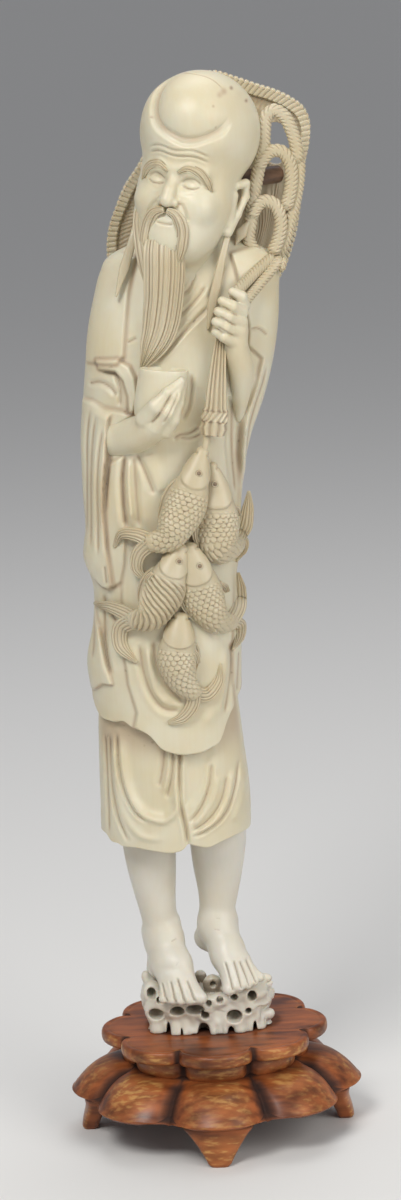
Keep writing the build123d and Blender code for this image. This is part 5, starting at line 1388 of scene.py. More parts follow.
fish(
    "fish_upper_right",
    spine=[(5.4, 183.4), (6.5, 176.0), (6.3, 168.0), (7.0, 161.2), (12.0, 160.0)],
    half_width=(0.9, 3.2, 5.6, 5.3, 2.0),
    lift=2.4,
    gill=0.42,
    fins=[
        ([(11.0, 160.6), (13.4, 163.0), (14.6, 167.5), (15.2, 173.0)], (1.8, 2.0, 1.6, 0.4)),
        ([(11.0, 160.8), (13.0, 159.6), (12.8, 157.4), (11.2, 155.5)], (1.6, 1.7, 1.3, 0.3)),
    ],
    side_fin=([(10.4, 171.6), (11.6, 170.0), (12.2, 168.2)], (0.5, 0.9, 0.7)),
    dorsal_side=1,
)
fish(
    "fish_upper_left",
    spine=[(3.8, 187.8), (0.8, 179.5), (-3.2, 170.2), (-7.0, 165.2), (-11.5, 164.2)],
    half_width=(0.9, 3.7, 5.5, 4.5, 2.3),
    lift=3.8,
    gill=0.35,
    fins=[
        ([(-10.6, 164.4), (-14.4, 166.2), (-18.2, 166.2), (-20.4, 162.6)], (2.3, 1.8, 1.3, 0.4)),
        ([(-10.8, 164.2), (-14.0, 161.2), (-14.8, 157.4), (-12.2, 153.6)], (2.3, 2.0, 1.6, 0.4)),
    ],
    side_fin=([(-3.0, 177.6), (-4.2, 175.4), (-4.6, 173.2)], (0.6, 1.0, 0.8)),
    dorsal_side=1,
)
EYES = [
    ("fish_upper_left", 2.3, 182.0), ("fish_upper_right", 6.3, 178.3), ("fish_middle_left", -3.7, 159.4),
    ("fish_middle_right", 1.5, 157.7),
]
EYE_SIDES = 28
EYE_STEPS = np.array([-0.5, -0.2, 0.0, 0.12, 0.12, 0.05, 0.0, 0.1, 0.12])
EYE_RADII = np.array([0.9, 0.9, 0.9, 0.82, 0.62, 0.52, 0.4, 0.34, 0.05])
EYE_STAIN = np.array([0.2, 0.3, 0.8, 0.3, 0.2, 0.9, 1.0, 1.0, 1.0])
for node, x, z in EYES:
    skin = fish_skins[node].reshape(-1, 3)
    near = np.hypot(skin[:, 0] - x, skin[:, 2] - z) < 0.7
    surface = skin[near, 1].min()
    spin = np.linspace(0, 2 * math.pi, EYE_SIDES, endpoint=False)
    eye_x = x + EYE_RADII[:, None] * np.sin(spin)
    eye_y = np.repeat((surface - EYE_STEPS)[:, None], EYE_SIDES, 1)
    eye_z = z + EYE_RADII[:, None] * np.cos(spin)
    rings = np.stack([eye_x, eye_y, eye_z], -1)
    add_tube(
        f"{node}_eye", rings[:, ::-1], "carving", warm_ivory, nodes=["fish_eyes"], slot="eye_inlay",
        stain=np.repeat(EYE_STAIN[:, None], EYE_SIDES, 1),
    )


# Head: worked out upright and facing forward, then leaned and turned into place
HEAD_PLACE = np.array([3.7, -5.0, 255.0])
HEAD_UP = unit(np.array([0.235, 0.10, 1.0]))
HEAD_TURN = math.radians(22)
level_forward = np.array([-math.sin(HEAD_TURN), -math.cos(HEAD_TURN), 0.0])
HEAD_FORWARD = unit(level_forward - (level_forward @ HEAD_UP) * HEAD_UP)
HEAD_SIDE = np.cross(HEAD_UP, HEAD_FORWARD)
HEAD_AXES = np.stack([HEAD_SIDE, HEAD_FORWARD, HEAD_UP])


def from_head(points):
    """Head places (side, forward, up) as places in the shared frame."""
    return HEAD_PLACE + np.asarray(points, float) @ HEAD_AXES


DOME = np.array([0.0, 0.3, 12.4])
BOSS_WAY = HEAD_AXES @ unit(np.array([-0.10, -0.81, 0.58]))
head = Field((-18, -19, -28), (18, 19, 30))
# Skull, face, jaw, neck and brow, then eyes, cheeks and ears on each side, then nose and lips
head.ball(DOME, (15.4, 15.8, 15.7), 1.0)
head.ball((0, 2.0, -4.5), (13.0, 11.6, 15.5), 4.0)
head.ball((0, 4.4, -15.0), (9.4, 9.0, 8.2), 4.0)
head.limb((0, -2.5, -10), (0, -3.5, -27), 9.0, 8.6, 2.0)
head.ball((0, 11.0, 1.4), (8.0, 2.4, 2.6), 2.5)
for side in (-1, 1):
    head.ball((side * 4.7, 13.7, -1.9), (3.1, 1.5, 1.7), 1.2, remove=True)
    head.ball((side * 4.7, 10.6, -2.0), (2.7, 2.0, 1.5), 0.5)
    head.ball((side * 6.4, 9.0, -6.8), (4.2, 3.6, 3.6), 2.4)
    head.chain(
        [(side * 0.8, 13.0, 1.4), (side * 4.0, 12.7, 2.0), (side * 7.4, 10.9, 1.2)], [0.9, 1.3, 0.9], 1.2,
    )
    head.ball((side * 1.9, 13.4, -6.8), (1.3, 1.5, 1.2), 0.7)
    head.chain(
        [
            (side * 12.8, 0.6, 0.6), (side * 14.0, -1.8, 1.6), (side * 14.2, -3.0, -1.6),
            (side * 13.4, -1.4, -6.6), (side * 12.4, 0.4, -11.4),
        ],
        [1.0, 1.1, 1.0, 1.1, 1.4], 0.6,
    )
    head.limb((side * 12.4, 0.8, -2.0), (side * 12.3, 0.6, -9.4), 1.2, 1.2, 0.8)
head.chain([(0, 12.8, 0.0), (0, 14.4, -4.0), (0, 15.0, -6.4)], [1.2, 1.5, 1.8], 1.0)
head.limb((-2.2, 12.4, -11.4), (2.2, 12.4, -11.4), 0.9, 0.9, 0.8)
head.limb((-1.7, 12.3, -13.0), (1.7, 12.3, -13.0), 1.0, 1.0, 0.8)
head_points, head_faces = head.skin()
head_normals = head.normals(head_points)
face = Carving(head_points, head_normals, head_points[:, [0, 2]], smooth(head_normals[:, 1], 0.0, 0.35))
for side in (-1, 1):
    face.groove(
        [(side * 2.3, -2.0), (side * 3.4, -2.5), (side * 4.8, -2.7), (side * 6.2, -2.4), (side * 7.3, -1.6)],
        0.22, 0.3, 0.7,
    )
    face.groove(
        [(side * 2.2, -1.6), (side * 3.4, -0.5), (side * 4.8, -0.1), (side * 6.2, -0.5), (side * 7.6, -1.5)],
        0.3, 0.25, 0.4,
    )
    face.groove([(side * 7.8, -1.9), (side * 9.2, -1.8), (side * 10.6, -2.4)], 0.25, 0.2, 0.3)
    face.groove([(side * 3.1, -6.4), (side * 4.4, -8.2), (side * 5.6, -10.8)], 0.5, 0.35, 0.35)
    face.groove([(side * 2.9, -5.8), (side * 3.2, -7.0), (side * 2.4, -8.0)], 0.3, 0.3, 0.5)
for rise in (4.6, 6.1):
    wrinkle = [(-8.4, rise), (-5.0, rise + 0.9), (0.0, rise + 0.3), (5.0, rise + 0.9), (8.4, rise)]
    face.groove(wrinkle, 0.32, 0.3, 0.45)
face.groove([(-2.4, -12.2), (0.0, -12.4), (2.4, -12.2)], 0.3, 0.35, 0.8)

# Boss on the dome: a ball that swells inside a sunk ledge with a soft rim, all fading towards the crown
BOSS_REACH = 9.2
BOSS_BALL = 10.8
BOSS_OUT = 6.95
DOME_REACH = 15.6
from_dome = unit(head_points - DOME)
boss_run = from_dome @ BOSS_WAY
ring = DOME_REACH * np.sqrt(np.clip(1 - boss_run**2, 0, 1)) + 40.0 * (boss_run < 0)
boss_up = unit(np.array([0, 0, 1.0]) - BOSS_WAY[2] * BOSS_WAY)
ring = ring + 0.18 * np.sin(9 * from_dome[:, 0]) * np.sin(7 * from_dome[:, 2])
upward = (from_dome @ boss_up) * DOME_REACH / np.maximum(ring, 1.0)
boss_right = np.cross(BOSS_WAY, boss_up)
rightward = (from_dome @ boss_right) * DOME_REACH / np.maximum(ring, 1.0)
carved = (1 - smooth(upward, 0.1, 0.8)) * (1 - smooth(rightward, 0.35, 0.95) * smooth(upward, -0.75, -0.1))
carved = carved * smooth(11.5 - 0.6 * head_points[:, 0], -2.0, 6.0)
dome_out = np.sqrt(np.clip(DOME_REACH**2 - ring**2, 0, None))
ball = np.sqrt(np.clip(BOSS_BALL**2 - ring**2, 0, None)) + BOSS_OUT - dome_out
ball = np.where(ring < BOSS_REACH + 0.1, np.clip(ball, 0, None), 0)
swell = 2.15 * (1 - smooth(ring, 0.0, 13.5))
rim = 0.85 * smooth(ring, 10.3, 11.1) * (1 - smooth(ring, 11.3, 15.4))
crease = 0.3 * np.exp(-(((ring - 9.35) / 0.4) ** 2))
ledge = smooth(ring, 9.2, 9.6) * (1 - smooth(ring, 10.6, 11.0))
face.push += carved * (ball + rim - crease) + (1 - carved) * swell
rim_rub = 0.2 * np.exp(-(((ring - 11.4) / 0.5) ** 2))
face.stain += carved * (0.5 * np.exp(-(((ring - 9.5) / 0.45) ** 2)) + 0.22 * ledge - rim_rub)
placed_head = from_head(head_points)
placed_normals = head_normals @ HEAD_AXES
dome_facing = smooth(-placed_normals[:, 1], 0.02, 0.25) * smooth(placed_head[:, 2], 262.0, 264.0)
dome = Carving(placed_head, placed_normals, placed_head[:, [0, 2]], dome_facing)
dome.push, dome.stain = face.push, face.stain
dome.groove([(1.0, 282.6), (5.5, 281.4), (10.1, 279.6), (12.4, 277.6)], 0.13, 0.15, 0.85)
# Age marks: x, z, size and strength
DOME_SPOTS = [
    (14.6, 278.1, 0.5, 1.3), (18.4, 274.8, 0.45, 1.2), (12.5, 277.2, 0.9, 0.7), (11.2, 276.2, 0.8, 0.5),
    (9.6, 273.7, 0.35, 0.8), (10.2, 269.0, 0.3, 0.7), (-5.4, 271.7, 0.3, 0.8), (16.5, 276.4, 1.6, 0.25),
]
for x, z, size, dark in DOME_SPOTS:
    gap = (dome.places[:, 0] - x) ** 2 + (dome.places[:, 1] - z) ** 2
    dome.stain += dark * dome.facing * np.exp(-gap / size**2)
# The head's hollows are darkened as dirt and painted shade together.
head_hollow = mesh_cavity(head_points, head_normals, head_faces, 6)
add_mesh(
    "head_flesh", dome.result(), [head_faces], "carving", aged_ivory, nodes=["head", "neck_peg"],
    slot="aged_ivory", stain=dome.stain + np.clip(head_hollow * 1.6, -0.3, 0.8),
)

HAIR_WAVE = 0.5


def hair(name, path, half_width, half_depth, strands, front=(0, -1, 0), depth=0.22, around=130, rows=110):
    """A lock of hair along a path: fine ridges run lengthwise and drift a little from side to side."""
    rows, columns = grid_count(rows), grid_count(around)
    line = curve(path, rows)
    share = np.linspace(0, 1, rows)
    width = spread(half_width, share)
    thick = spread(half_depth, share)
    rings, turn = sweep(line, width, thick, columns, front=front, power=2.3)
    across = np.sin(turn)[None] + 0.05 * HAIR_WAVE * np.sin(5.0 * share + 1.0)[:, None]
    lock = np.cos(across * strands * math.pi * 0.33 + HAIR_WAVE * np.sin(3 * share)[:, None])
    strand = np.cos(across * strands * math.pi + 2.0 * HAIR_WAVE * np.sin(4 * share + 0.6)[:, None])
    fine = np.cos(across * strands * 1.7 * math.pi + HAIR_WAVE * np.sin(7 * share)[:, None])
    show = smooth(np.cos(turn), -0.3, 0.3)[None] * smooth(share, 0, 0.03)[:, None]
    push = show * depth * (0.8 * lock + 0.7 * strand + 0.3 * fine)
    rings = rings + ring_normals(rings) * push[..., None]
    stain = show * (0.14 - 0.2 * lock - 0.34 * strand - 0.16 * fine)
    add_warm_tube(name, rings, "head", np.clip(stain, -0.4, 0.65))


hair(
    "beard",
    [
        (-3.4, -12.0, 244.0), (-4.0, -16.6, 239.0), (-4.3, -17.4, 231.5), (-5.0, -17.0, 224.0),
        (-6.4, -16.8, 217.6), (-8.6, -17.2, 213.0), (-11.2, -17.8, 208.6),
    ],
    (3.0, 5.0, 5.2, 4.9, 4.6, 3.4, 0.5), (1.6, 2.4, 2.4, 2.2, 2.0, 1.7, 0.5), 12,
    depth=0.19, around=400, rows=120,
)
hair(
    "side_whisker",
    [
        (-9.2, -8.0, 251.0), (-10.0, -11.0, 246.5), (-9.4, -14.2, 240.0), (-8.4, -16.4, 233.0),
        (-7.6, -16.8, 226.0),
    ],
    (0.8, 1.8, 2.2, 1.9, 0.6), (0.7, 1.5, 1.9, 1.7, 0.6), 4, depth=0.16,
)
for side in (-1, 1):
    label = "right" if side < 0 else "left"
    lip = from_head(
        [
            (side * 0.4, 14.3, -8.9), (side * 2.8, 13.8, -9.8), (side * 4.6, 12.6, -12.6),
            (side * 5.0, 11.6, -17.0), (side * 4.6, 10.6, -21.5),
        ]
    )
    hair(
        f"moustache_{label}", lip, (0.8, 1.6, 1.7, 1.6, 0.6), (0.9, 1.3, 1.2, 1.1, 0.5), 5,
        front=HEAD_FORWARD, depth=0.16,
    )
    brow = from_head(
        [
            (side * 1.3, 14.0, 0.8), (side * 3.6, 14.0, 2.2), (side * 6.2, 12.8, 1.8),
            (side * 8.4, 10.8, -0.2), (side * 9.6, 9.2, -2.6),
        ]
    )
    hair(
        f"eyebrow_{label}", brow, (0.6, 1.2, 1.4, 1.2, 0.3), (0.5, 0.9, 0.9, 0.8, 0.3), 4,
        front=HEAD_FORWARD, depth=0.15, rows=70,
    )

# Hat: a leaning dish drawn by its outline in the front view, with a plaited border and an oval opening
HAT_PLACE = np.array([8.2, 13.4, 248.6])
HAT_LEAN = math.radians(6)
HAT_BACK = np.array([0, math.cos(HAT_LEAN), math.sin(HAT_LEAN)])
HAT_HIGH = np.array([0, -math.sin(HAT_LEAN), math.cos(HAT_LEAN)])
HAT_OUTLINE = [
    (32.3, 248.0), (33.4, 256.5), (34.9, 263.0), (35.0, 267.8), (33.6, 271.2), (30.4, 273.9), (26.4, 276.0),
    (22.0, 277.6), (16.0, 279.9), (10.6, 281.6), (3.0, 279.0), (-4.0, 269.5), (-10.2, 257.6),
    (-14.0, 252.2), (-16.6, 246.4), (-18.4, 241.6), (-19.2, 236.0), (-18.4, 228.0), (-13.5, 219.5),
    (-5.0, 214.8), (6.0, 214.0), (17.0, 217.5), (25.5, 226.0), (30.2, 237.0),
]
outline = np.array(HAT_OUTLINE) - HAT_PLACE[[0, 2]]
outline_turn = np.unwrap(np.arctan2(outline[:, 1], outline[:, 0]))
wrapped_turn = np.concatenate([outline_turn[-3:] - 2 * math.pi, outline_turn, outline_turn[:3] + 2 * math.pi])
wrapped = np.column_stack([wrapped_turn, np.pad(np.hypot(*outline.T), 3, mode="wrap")])
spin = np.linspace(0, 2 * math.pi, grid_count(760, 0.4), endpoint=False)
reach = along(wrapped, spin, 1)
rim_steps = np.hypot(np.gradient(reach), reach * (spin[1] - spin[0]))
TOOTH = 1.45
HAT_STRAWS = 150
teeth = np.round(rim_steps.sum() / TOOTH)
rim_run = np.cumsum(rim_steps) / rim_steps.sum() * teeth
BORDER = 3.0
OPENING_PLACE = np.array([17.9, 13.4])
OPENING_HALF = np.array([3.7, 5.6])
rim_line = np.column_stack([reach * np.cos(spin), reach * np.sin(spin)])
ray = unit(rim_line - OPENING_PLACE)
opening_line = OPENING_PLACE + ray / np.linalg.norm(ray / OPENING_HALF, axis=1)[:, None]
spin_round = np.concatenate([spin - 2 * math.pi, spin, spin + 2 * math.pi])
reach_round = np.tile(reach, 3)
run_round = np.concatenate([rim_run - teeth, rim_run, rim_run + teeth])


def hat_face(steps):
    """Rows from the hat's opening (0) to its rim (1): place, share of the radius, inset, turn and tooth."""
    place = opening_line + (rim_line - opening_line) * np.asarray(steps)[:, None, None]
    turn = np.arctan2(place[..., 1], place[..., 0])
    full = np.interp(turn, spin_round, reach_round)
    share = np.hypot(place[..., 0], place[..., 1]) / full
    inset = (1 - share) * full
    tooth = np.abs(((np.interp(turn, spin_round, run_round) - 0.25 * inset) % 1.0) - 0.5) * 2
    notch = 0.5 * smooth(tooth, 0.55, 1.0) * smooth(share, 0.97, 1.0)
    return place * (1 - notch / full)[..., None], share, inset, turn, tooth


front_place, share, inset, turn, tooth = hat_face(1 - np.linspace(1, 0, grid_count(72)) ** 1.6)
border = 1 - smooth(inset, BORDER - 0.3, BORDER + 0.3)
straw = np.cos(turn * HAT_STRAWS) * smooth(share, 0.35, 0.55)
plait = np.cos(inset * 2 * math.pi / 2.6)
front_depth = (1 - border) * (1.4 + 0.10 * straw + 0.08 * plait)
front_depth = front_depth + 0.4 * smooth(tooth, 0.6, 0.97) * border * smooth(inset, -0.5, 0.6)
front_stain = (0.42 - 0.1 * straw - 0.06 * plait) * (1 - border) + border * (
    0.7 * smooth(tooth, 0.66, 0.97) - 0.2
)
edge_turn = np.linspace(0, 1, 7)[1:-1, None]
edge_place = front_place[-1] * (1 + 0.25 * np.sin(math.pi * edge_turn) / reach)[..., None]
edge_depth = np.repeat(2.9 * edge_turn, len(spin), 1)
edge_stain = np.repeat(0.5 * smooth(tooth[-1:], 0.55, 1.0) - 0.1, len(edge_turn), 0)
back_place, share, inset, turn, _ = hat_face(np.linspace(1, 0, grid_count(46)))
crown = 1 - smooth(share, 0.44, 0.58)
straw = np.cos(turn * HAT_STRAWS) * smooth(share, 0.4, 0.6)
back_weave = straw * np.sign(np.cos(share * 46 * math.pi))
back_rings = 0.12 * np.cos(inset * 2 * math.pi / 3.4)
back_depth = 3.0 + 4.6 * crown + 0.1 * back_weave + back_rings
back_stain = 0.12 - 0.15 * back_weave - 1.2 * back_rings
wall_share = np.linspace(0, 1, 6)[1:-1, None]
wall_place = np.broadcast_to(opening_line, (len(wall_share),) + opening_line.shape)
wall_depth = back_depth[-1] * (1 - wall_share) + front_depth[0] * wall_share
hat_place = np.concatenate([front_place, edge_place, back_place, wall_place])
hat_depth = np.concatenate([front_depth, edge_depth, back_depth, wall_depth])
hat_stain = np.concatenate([front_stain, edge_stain, back_stain, np.full_like(wall_depth, 0.3)])
hat_points = (
    HAT_PLACE
    + hat_place[..., :1] * np.array([1.0, 0, 0])
    + hat_place[..., 1:] * HAT_HIGH
    + hat_depth[..., None] * HAT_BACK
)
hat_count = np.arange(hat_stain.size).reshape(hat_stain.shape)
hat_next = np.roll(hat_count, -1, axis=0)
hat_corners = [hat_count, hat_next, np.roll(hat_next, -1, axis=1), np.roll(hat_count, -1, axis=1)]
hat_faces = np.stack(hat_corners, -1).reshape(-1, 4)
add_mesh(
    "hat_straw", hat_points.reshape(-1, 3), [hat_faces], "carving", warm_ivory,
    nodes=["straw_hat", "hat_back_peg"], slot="aged_ivory", stain=hat_stain.ravel(),
)


# Ropes: flat strands with slanting twist marks
ROPE_PITCH = 1.15


def rope(name, path, half_width, half_depth, hand=1.0):
    """A twisted strand along a path: the marks run aslant around it."""
    points = np.asarray(path, float)
    length = np.linalg.norm(np.diff(points, axis=0), axis=1).sum()
    rows, columns = max(40, grid_count(length * 8)), grid_count(56, 0.6)
    line = curve(points, rows)
    run = np.linspace(0, length, rows)[:, None]
    ends = np.sqrt(np.clip(np.minimum(run, length - run) / half_width, 0.03, 1))[:, 0]
    rings, turn = sweep(line, half_width * ends, half_depth * ends, columns, power=2.5)
    slant = run / ROPE_PITCH + hand * np.sin(turn)[None] * 1.1
    off_middle = np.abs(np.sin(turn))[None]
    mark = np.exp(-((np.abs((slant % 1.0) - 0.5) / 0.17) ** 2)) * smooth(off_middle, 0.0, 0.35)
    spine = np.exp(-((np.sin(turn)[None] / 0.16) ** 2)) * (np.cos(turn)[None] > 0)
    mark = np.maximum(mark, 0.35 * spine)
    rings = rings - ring_normals(rings) * (0.2 * mark)[..., None]
    add_warm_tube(name, rings, "rope_loops", np.clip(0.85 * mark - 0.15, -0.3, 0.75))


def at_depth(points, y):
    """Adds a depth, or one for each point, to x and z places."""
    points = np.asarray(points, float)
    return np.column_stack([points[:, 0], np.broadcast_to(y, len(points)), points[:, 1]])


LOOP_LEFT = [
    (23.2, 233.2), (19.8, 235.2), (17.8, 238.8), (18.4, 243.2), (19.0, 248.0), (20.1, 253.0), (21.4, 258.5),
    (22.5, 262.7), (22.9, 267.0), (23.5, 270.2), (25.4, 271.7), (27.8, 270.4), (29.6, 267.0), (30.8, 262.6),
    (31.2, 257.6),
]
LOOP_MIDDLE = [
    (20.6, 256.2), (22.4, 259.6), (24.6, 261.4), (27.0, 261.2), (28.9, 258.6), (29.4, 254.8), (28.8, 250.6),
    (27.4, 246.0),
]
LOOP_LOW = [
    (18.6, 243.8), (19.8, 247.0), (22.0, 248.7), (24.4, 248.0), (25.9, 245.4), (26.1, 242.0), (25.1, 238.2),
    (23.2, 234.4),
]
LOOP_RIGHT = [
    (31.4, 261.8), (31.4, 256.2), (30.7, 251.2), (29.6, 246.6), (28.4, 242.4), (26.8, 237.6), (24.0, 233.4),
]
rope("loop_left", at_depth(LOOP_LEFT, -3.6), 1.75, 1.6)
rope("loop_middle", at_depth(LOOP_MIDDLE, -4.1), 1.75, 1.5, hand=-1.0)
rope("loop_low", at_depth(LOOP_LOW, -4.3), 1.75, 1.5, hand=-1.0)
rope("loop_right", at_depth(LOOP_RIGHT, -2.6), 1.7, 1.6)
rope(
    "stem_upper",
    [
        (24.0, -5.0, 234.6), (20.6, -8.6, 232.4), (17.0, -13.0, 229.6), (13.4, -18.6, 226.4),
        (11.6, -20.2, 222.0),
    ],
    1.45, 1.3,
)
rope(
    "stem_lower",
    [
        (26.0, -5.0, 234.2), (22.4, -8.4, 230.6), (18.6, -12.6, 227.0), (15.4, -17.4, 223.8),
        (12.4, -19.4, 219.6),
    ],
    1.45, 1.3, hand=-1.0,
)
rope("stem_knot", [(25.6, -6.0, 230.4), (26.6, -5.6, 234.2)], 1.1, 1.2)
leaf_line = curve([(17.8, -4.8, 243.6), (16.0, -5.6, 241.0), (14.2, -6.0, 238.0)], 24)
leaf_width = np.interp(np.linspace(0, 1, 24), [0, 0.5, 1], [0.5, 1.5, 0.1])
leaf, _ = sweep(leaf_line, leaf_width, 0.6, 24)
add_warm_tube("rope_leaf", leaf, "rope_loops", np.full(leaf.shape[:2], 0.05))

peg_line = curve([(12.5, -0.8, 254.0), (19.4, 6.6, 254.0), (26.2, 13.9, 254.0)], 20)
peg_rings, _ = sweep(peg_line, 2.3, 2.3, 40, front=(0, 0, 1))
add_tube("horn_peg", peg_rings, "carving", brown_horn, nodes=["hat_side_peg"], slot="horn_peg")


# Ribbons of the hat, flat and plain, lying on the chest


def ribbon(name, path, half_width):
    """A flat band with a raised middle, pointed at its end."""
    rows = grid_count(80)
    line = curve(path, rows)
    share = np.linspace(0, 1, rows)
    width = straight(half_width, share)
    rings, turn = sweep(line, width, 0.7, 40, power=3.0)
    edge = np.repeat(np.abs(np.sin(turn))[None], rows, 0)
    add_warm_tube(name, rings, "robe", 0.55 * smooth(edge, 0.8, 1.0) - 0.12)


ribbon(
    "ribbon_left",
    [
        (14.0, -5.6, 246.0), (12.2, -10.5, 240.6), (10.4, -12.4, 234.4), (9.0, -13.4, 229.0),
        (7.6, -14.2, 224.0), (6.2, -15.2, 217.6),
    ],
    (0.6, 0.8, 0.9, 1.2, 1.2, 0.3),
)
ribbon(
    "ribbon_right",
    [(-10.2, -8.0, 248.0), (-12.0, -10.6, 241.0), (-14.4, -11.4, 234.0), (-17.0, -12.2, 226.6)],
    (0.6, 1.0, 1.3, 0.3),
)

# Tassel: a ribbed bundle, a twisted band and a row of rounded ends
rows, columns = grid_count(130), grid_count(130)
tassel_line = curve(
    [(9.4, -18.6, 216.0), (8.6, -19.4, 210.0), (7.8, -19.8, 203.0), (7.2, -20.0, 197.0), (6.3, -20.2, 191.0)],
    rows,
)
share = np.linspace(0, 1, rows)
tassel_z = tassel_line[:, 2]
tassel_width = np.interp(
    share, [0, 0.2, 0.5, 0.72, 0.75, 0.86, 0.88, 0.93, 1.0], [1.2, 1.8, 2.5, 2.9, 3.4, 3.4, 3.2, 3.6, 3.0],
)
tassel_rings, turn = sweep(tassel_line, tassel_width, np.minimum(tassel_width * 0.8, 2.2), columns, power=2.4)
band = smooth(tassel_z, 194.6, 195.0) * (1 - smooth(tassel_z, 197.0, 197.4))
ribs = np.cos(np.sin(turn)[None] * 5.0 * math.pi) * smooth(np.cos(turn), -0.2, 0.3)[None]
lobes = np.cos(np.sin(turn)[None] * 3.4 * math.pi + 0.4) * smooth(np.cos(turn), -0.2, 0.3)[None]
twist = np.cos(2 * math.pi * (np.sin(turn)[None] * 2.6 + tassel_z[:, None] / 2.4))
ends = 1 - smooth(tassel_z, 194.2, 194.8)
push = 0.3 * ribs * (1 - band - ends)[:, None] + 0.2 * twist * band[:, None] + 0.35 * lobes * ends[:, None]
push = push * np.clip(share / 0.05, 0, 1)[:, None]
tassel_rings = tassel_rings + ring_normals(tassel_rings) * push[..., None]
seams = np.exp(-(((tassel_z - 197.3) / 0.35) ** 2)) + np.exp(-(((tassel_z - 194.5) / 0.35) ** 2))
tassel_stain = np.clip(-1.6 * push, -0.35, 0.5) + 0.6 * seams[:, None] + 0.1
add_warm_tube("tassel", tassel_rings, "rope_tassel", tassel_stain)
cord_line = curve([(5.0, -20.4, 192.0), (4.4, -20.8, 189.0), (3.6, -21.4, 185.6)], 30)
cord_rings, _ = sweep(cord_line, 0.85, 0.8, 24)
add_warm_tube("cord", cord_rings, "fish_cord", np.full(cord_rings.shape[:2], 0.15))

# Cup: a plain round bowl on the right hand
CUP_PLACE = np.array([-5.5, -21.0, 0.0])
CUP_LEAN = 0.19
CUP_DEPTH_SHARE = 0.8
CUP_RIM_Z = 208.0
profile = np.array(
    [
        (0.3, 196.2), (4.0, 196.2), (5.6, 196.9), (6.3, 199.2), (6.4, 203.0), (6.3, 206.5), (6.25, 208.2),
        (6.1, 208.7), (5.8, 208.7), (5.5, 208.2), (5.2, 206.0), (0.3, 205.2),
    ]
)
profile = curve(profile, grid_count(120))
spin = np.linspace(0, 2 * math.pi, 120, endpoint=False)
cup_x = profile[:, :1] * np.cos(spin)
cup_y = profile[:, :1] * np.sin(spin) * CUP_DEPTH_SHARE
cup_rings = np.stack([cup_x, cup_y, np.repeat(profile[:, 1:], len(spin), 1)], -1) + CUP_PLACE
cup_rings[..., 0] += CUP_LEAN * (cup_rings[..., 2] - CUP_RIM_Z)
cup_rings[..., 2] -= 0.10 * (cup_rings[..., 0] - CUP_PLACE[0]) * smooth(cup_rings[..., 2], 198.0, CUP_RIM_Z)
cup_share = np.arange(len(profile)) / len(profile)
cup_stain = np.repeat(0.4 * np.exp(-(((cup_share - 0.78) / 0.05) ** 2))[:, None] - 0.1, len(spin), 1)
add_tube("cup_bowl", cup_rings, "carving", aged_ivory, nodes=["wine_cup"], slot="aged_ivory", stain=cup_stain)

# Hands: one spread under the cup, one closed on the rope
cup_hand = Field((-30, -30, 180), (4, 0, 212))
cup_hand.rope(
    [
        (-20.6, -7.6, 190.2), (-19.4, -10.8, 190.3), (-15.5, -15.2, 191.0), (-12.3, -18.8, 192.2),
        (-9.4, -21.4, 194.0),
    ],
    [4.4, 5.1, 4.7, 4.4, 4.0],
)
cup_hand.ball((-8.0, -22.4, 195.6), (4.6, 3.4, 4.0), 2.4)
CUP_FINGERS = [
    (
        [(-11.0, -24.4, 196.6), (-8.0, -27.0, 200.0), (-4.6, -26.8, 203.4), (-1.2, -25.2, 206.2)],
        [2.3, 1.9, 1.35, 0.8],
    ),
    (
        [(-8.2, -24.4, 194.6), (-5.2, -26.8, 198.4), (-2.9, -26.4, 202.0), (-0.9, -24.8, 205.6)],
        [2.3, 1.75, 1.3, 0.8],
    ),
    (
        [(-5.6, -23.2, 193.2), (-3.7, -25.2, 196.2), (-2.0, -25.0, 200.4), (-0.7, -23.8, 204.4)],
        [2.1, 1.6, 1.2, 0.8],
    ),
]
for joints, radii in CUP_FINGERS:
    cup_hand.chain(joints, radii, 0.8)
CUP_FINGER_CUTS = [
    ([(-9.5, 195.3), (-6.1, 199.4), (-3.4, 203.6)], 0.35, 0.4, 0.7),
    ([(-6.4, 195.4), (-4.0, 199.0), (-1.8, 203.6)], 0.3, 0.35, 0.6),
]
add_field(
    "cup_hand", cup_hand, CUP_FINGER_CUTS, "carving", aged_ivory, ["right_hand"], "aged_ivory",
    dark=1.8, worn=0.4,
)
rope_hand = Field((3, -28, 189), (24, 0, 232))
rope_hand.rope(
    [(13.2, -10.6, 193.6), (13.9, -13.2, 200.0), (14.3, -15.8, 206.4), (13.2, -18.4, 212.6)],
    [0.9, 2.2, 3.0, 3.2],
)
rope_hand.ball((13.2, -20.0, 217.6), (3.3, 2.6, 5.0), 2.0)
ROPE_FINGERS = [
    ([(14.8, -20.2, 222.4), (12.6, -23.0, 224.2), (10.0, -22.4, 225.6)], [1.9, 1.45, 1.15]),
    ([(14.6, -20.6, 219.8), (11.6, -23.6, 221.6), (8.9, -22.6, 223.0)], [1.9, 1.45, 1.15]),
    ([(14.0, -20.8, 217.4), (10.8, -23.6, 219.0), (8.2, -22.4, 220.4)], [1.9, 1.45, 1.15]),
    ([(12.8, -20.6, 214.8), (10.2, -23.0, 216.4), (8.1, -21.8, 217.6)], [1.9, 1.35, 1.05]),
    ([(15.4, -18.6, 223.6), (15.0, -20.4, 226.2), (12.8, -21.2, 227.6)], [1.9, 1.5, 1.15]),
]
for joints, radii in ROPE_FINGERS:
    rope_hand.chain(joints, radii, 0.4)
ROPE_FINGER_CUTS = [
    ([(10.2, 224.2), (12.2, 222.9), (14.2, 221.6)], 0.25, 0.3, 0.6),
    ([(9.2, 221.8), (11.4, 220.4), (13.6, 219.0)], 0.25, 0.3, 0.6),
    ([(8.6, 219.2), (10.6, 218.0), (12.6, 216.6)], 0.25, 0.3, 0.6),
]
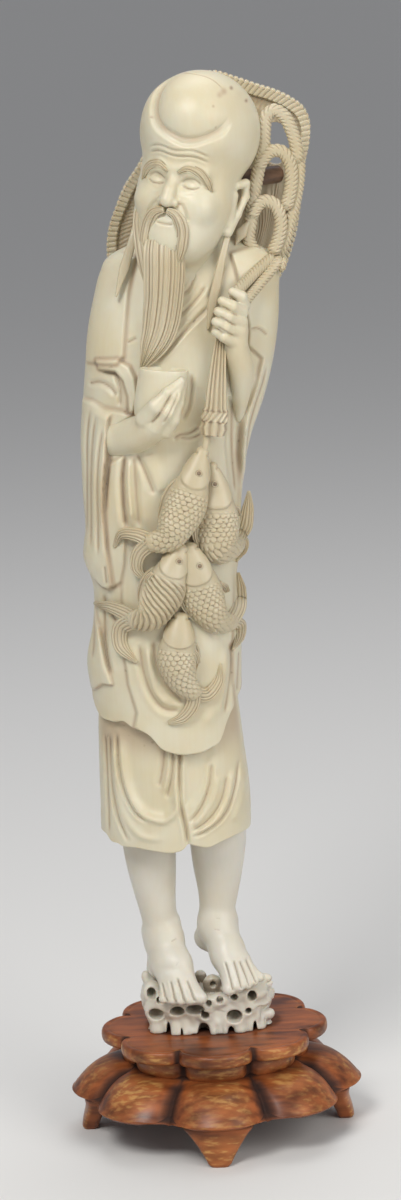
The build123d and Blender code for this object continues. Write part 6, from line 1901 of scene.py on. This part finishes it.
add_field(
    "rope_hand", rope_hand, ROPE_FINGER_CUTS, "carving", aged_ivory, ["left_hand"], "aged_ivory",
    dark=1.8, worn=0.4,
)


# Floor, light and camera
FLOOR_REACH = 12.0
floor_mesh = bpy.data.meshes.new("floor")
floor_corners = [(x * FLOOR_REACH, y * FLOOR_REACH, 0.0) for x, y in ((-1, -1), (1, -1), (1, 1), (-1, 1))]
floor_mesh.from_pydata(floor_corners, [], [(0, 1, 2, 3)])
floor = bpy.data.objects.new("floor", floor_mesh)
bpy.context.scene.collection.objects.link(floor)
floor_paint, floor_shader, _ = new_material("pale_floor")
floor_shader.inputs["Base Color"].default_value = (0.72, 0.71, 0.69, 1)
floor_shader.inputs["Roughness"].default_value = 0.9
floor_mesh.materials.append(floor_paint)


def area_light(name, place, aim, size, watts, colour):
    """A soft square lamp turned towards a point."""
    lamp = bpy.data.lights.new(name, "AREA")
    lamp.size = size
    lamp.energy = watts
    lamp.color = colour
    holder = bpy.data.objects.new(name, lamp)
    bpy.context.scene.collection.objects.link(holder)
    way = Vector(aim) - Vector(place)
    holder.matrix_world = Matrix.Translation(Vector(place)) @ way.to_track_quat("-Z", "Y").to_matrix().to_4x4(
        
    )
    return holder


area_light("key", (-0.28, -0.62, 0.80), (0.0, 0.0, 0.17), 0.32, 5.1, (1.0, 0.99, 0.97))
area_light("fill", (0.70, -0.75, 0.60), (0.0, 0.0, 0.15), 0.7, 5.9, (1.0, 0.98, 0.95))
area_light("top", (0.05, 0.35, 1.0), (0.0, 0.0, 0.2), 0.6, 3.0, (0.97, 0.98, 1.0))
world = bpy.data.worlds.new("studio")
world.use_nodes = True
world.node_tree.nodes["Background"].inputs[0].default_value = (0.93, 0.95, 1.0, 1)
world.node_tree.nodes["Background"].inputs[1].default_value = 0.33
bpy.context.scene.world = world

CAMERA_PLACE = (0.0013, -0.923, 0.328)
CAMERA_DOWN = math.radians(11.26)
CAMERA_ROLL = math.radians(2.5)
FOCAL_PIXELS = 3569.0
PHOTO_HEIGHT = 1200.0
eye = bpy.data.cameras.new("photo_camera")
eye.sensor_fit = "VERTICAL"
eye.sensor_height = 36.0
eye.lens = FOCAL_PIXELS / PHOTO_HEIGHT * eye.sensor_height
eye.clip_start = 0.05
eye.clip_end = 20.0
camera = bpy.data.objects.new("photo_camera", eye)
bpy.context.scene.collection.objects.link(camera)
camera.matrix_world = (
    Matrix.Translation(CAMERA_PLACE)
    @ Matrix.Rotation(math.pi / 2 - CAMERA_DOWN, 4, "X")
    @ Matrix.Rotation(-CAMERA_ROLL, 4, "Z")
)
bpy.context.scene.camera = camera
bpy.context.scene.view_settings.view_transform = "Standard"
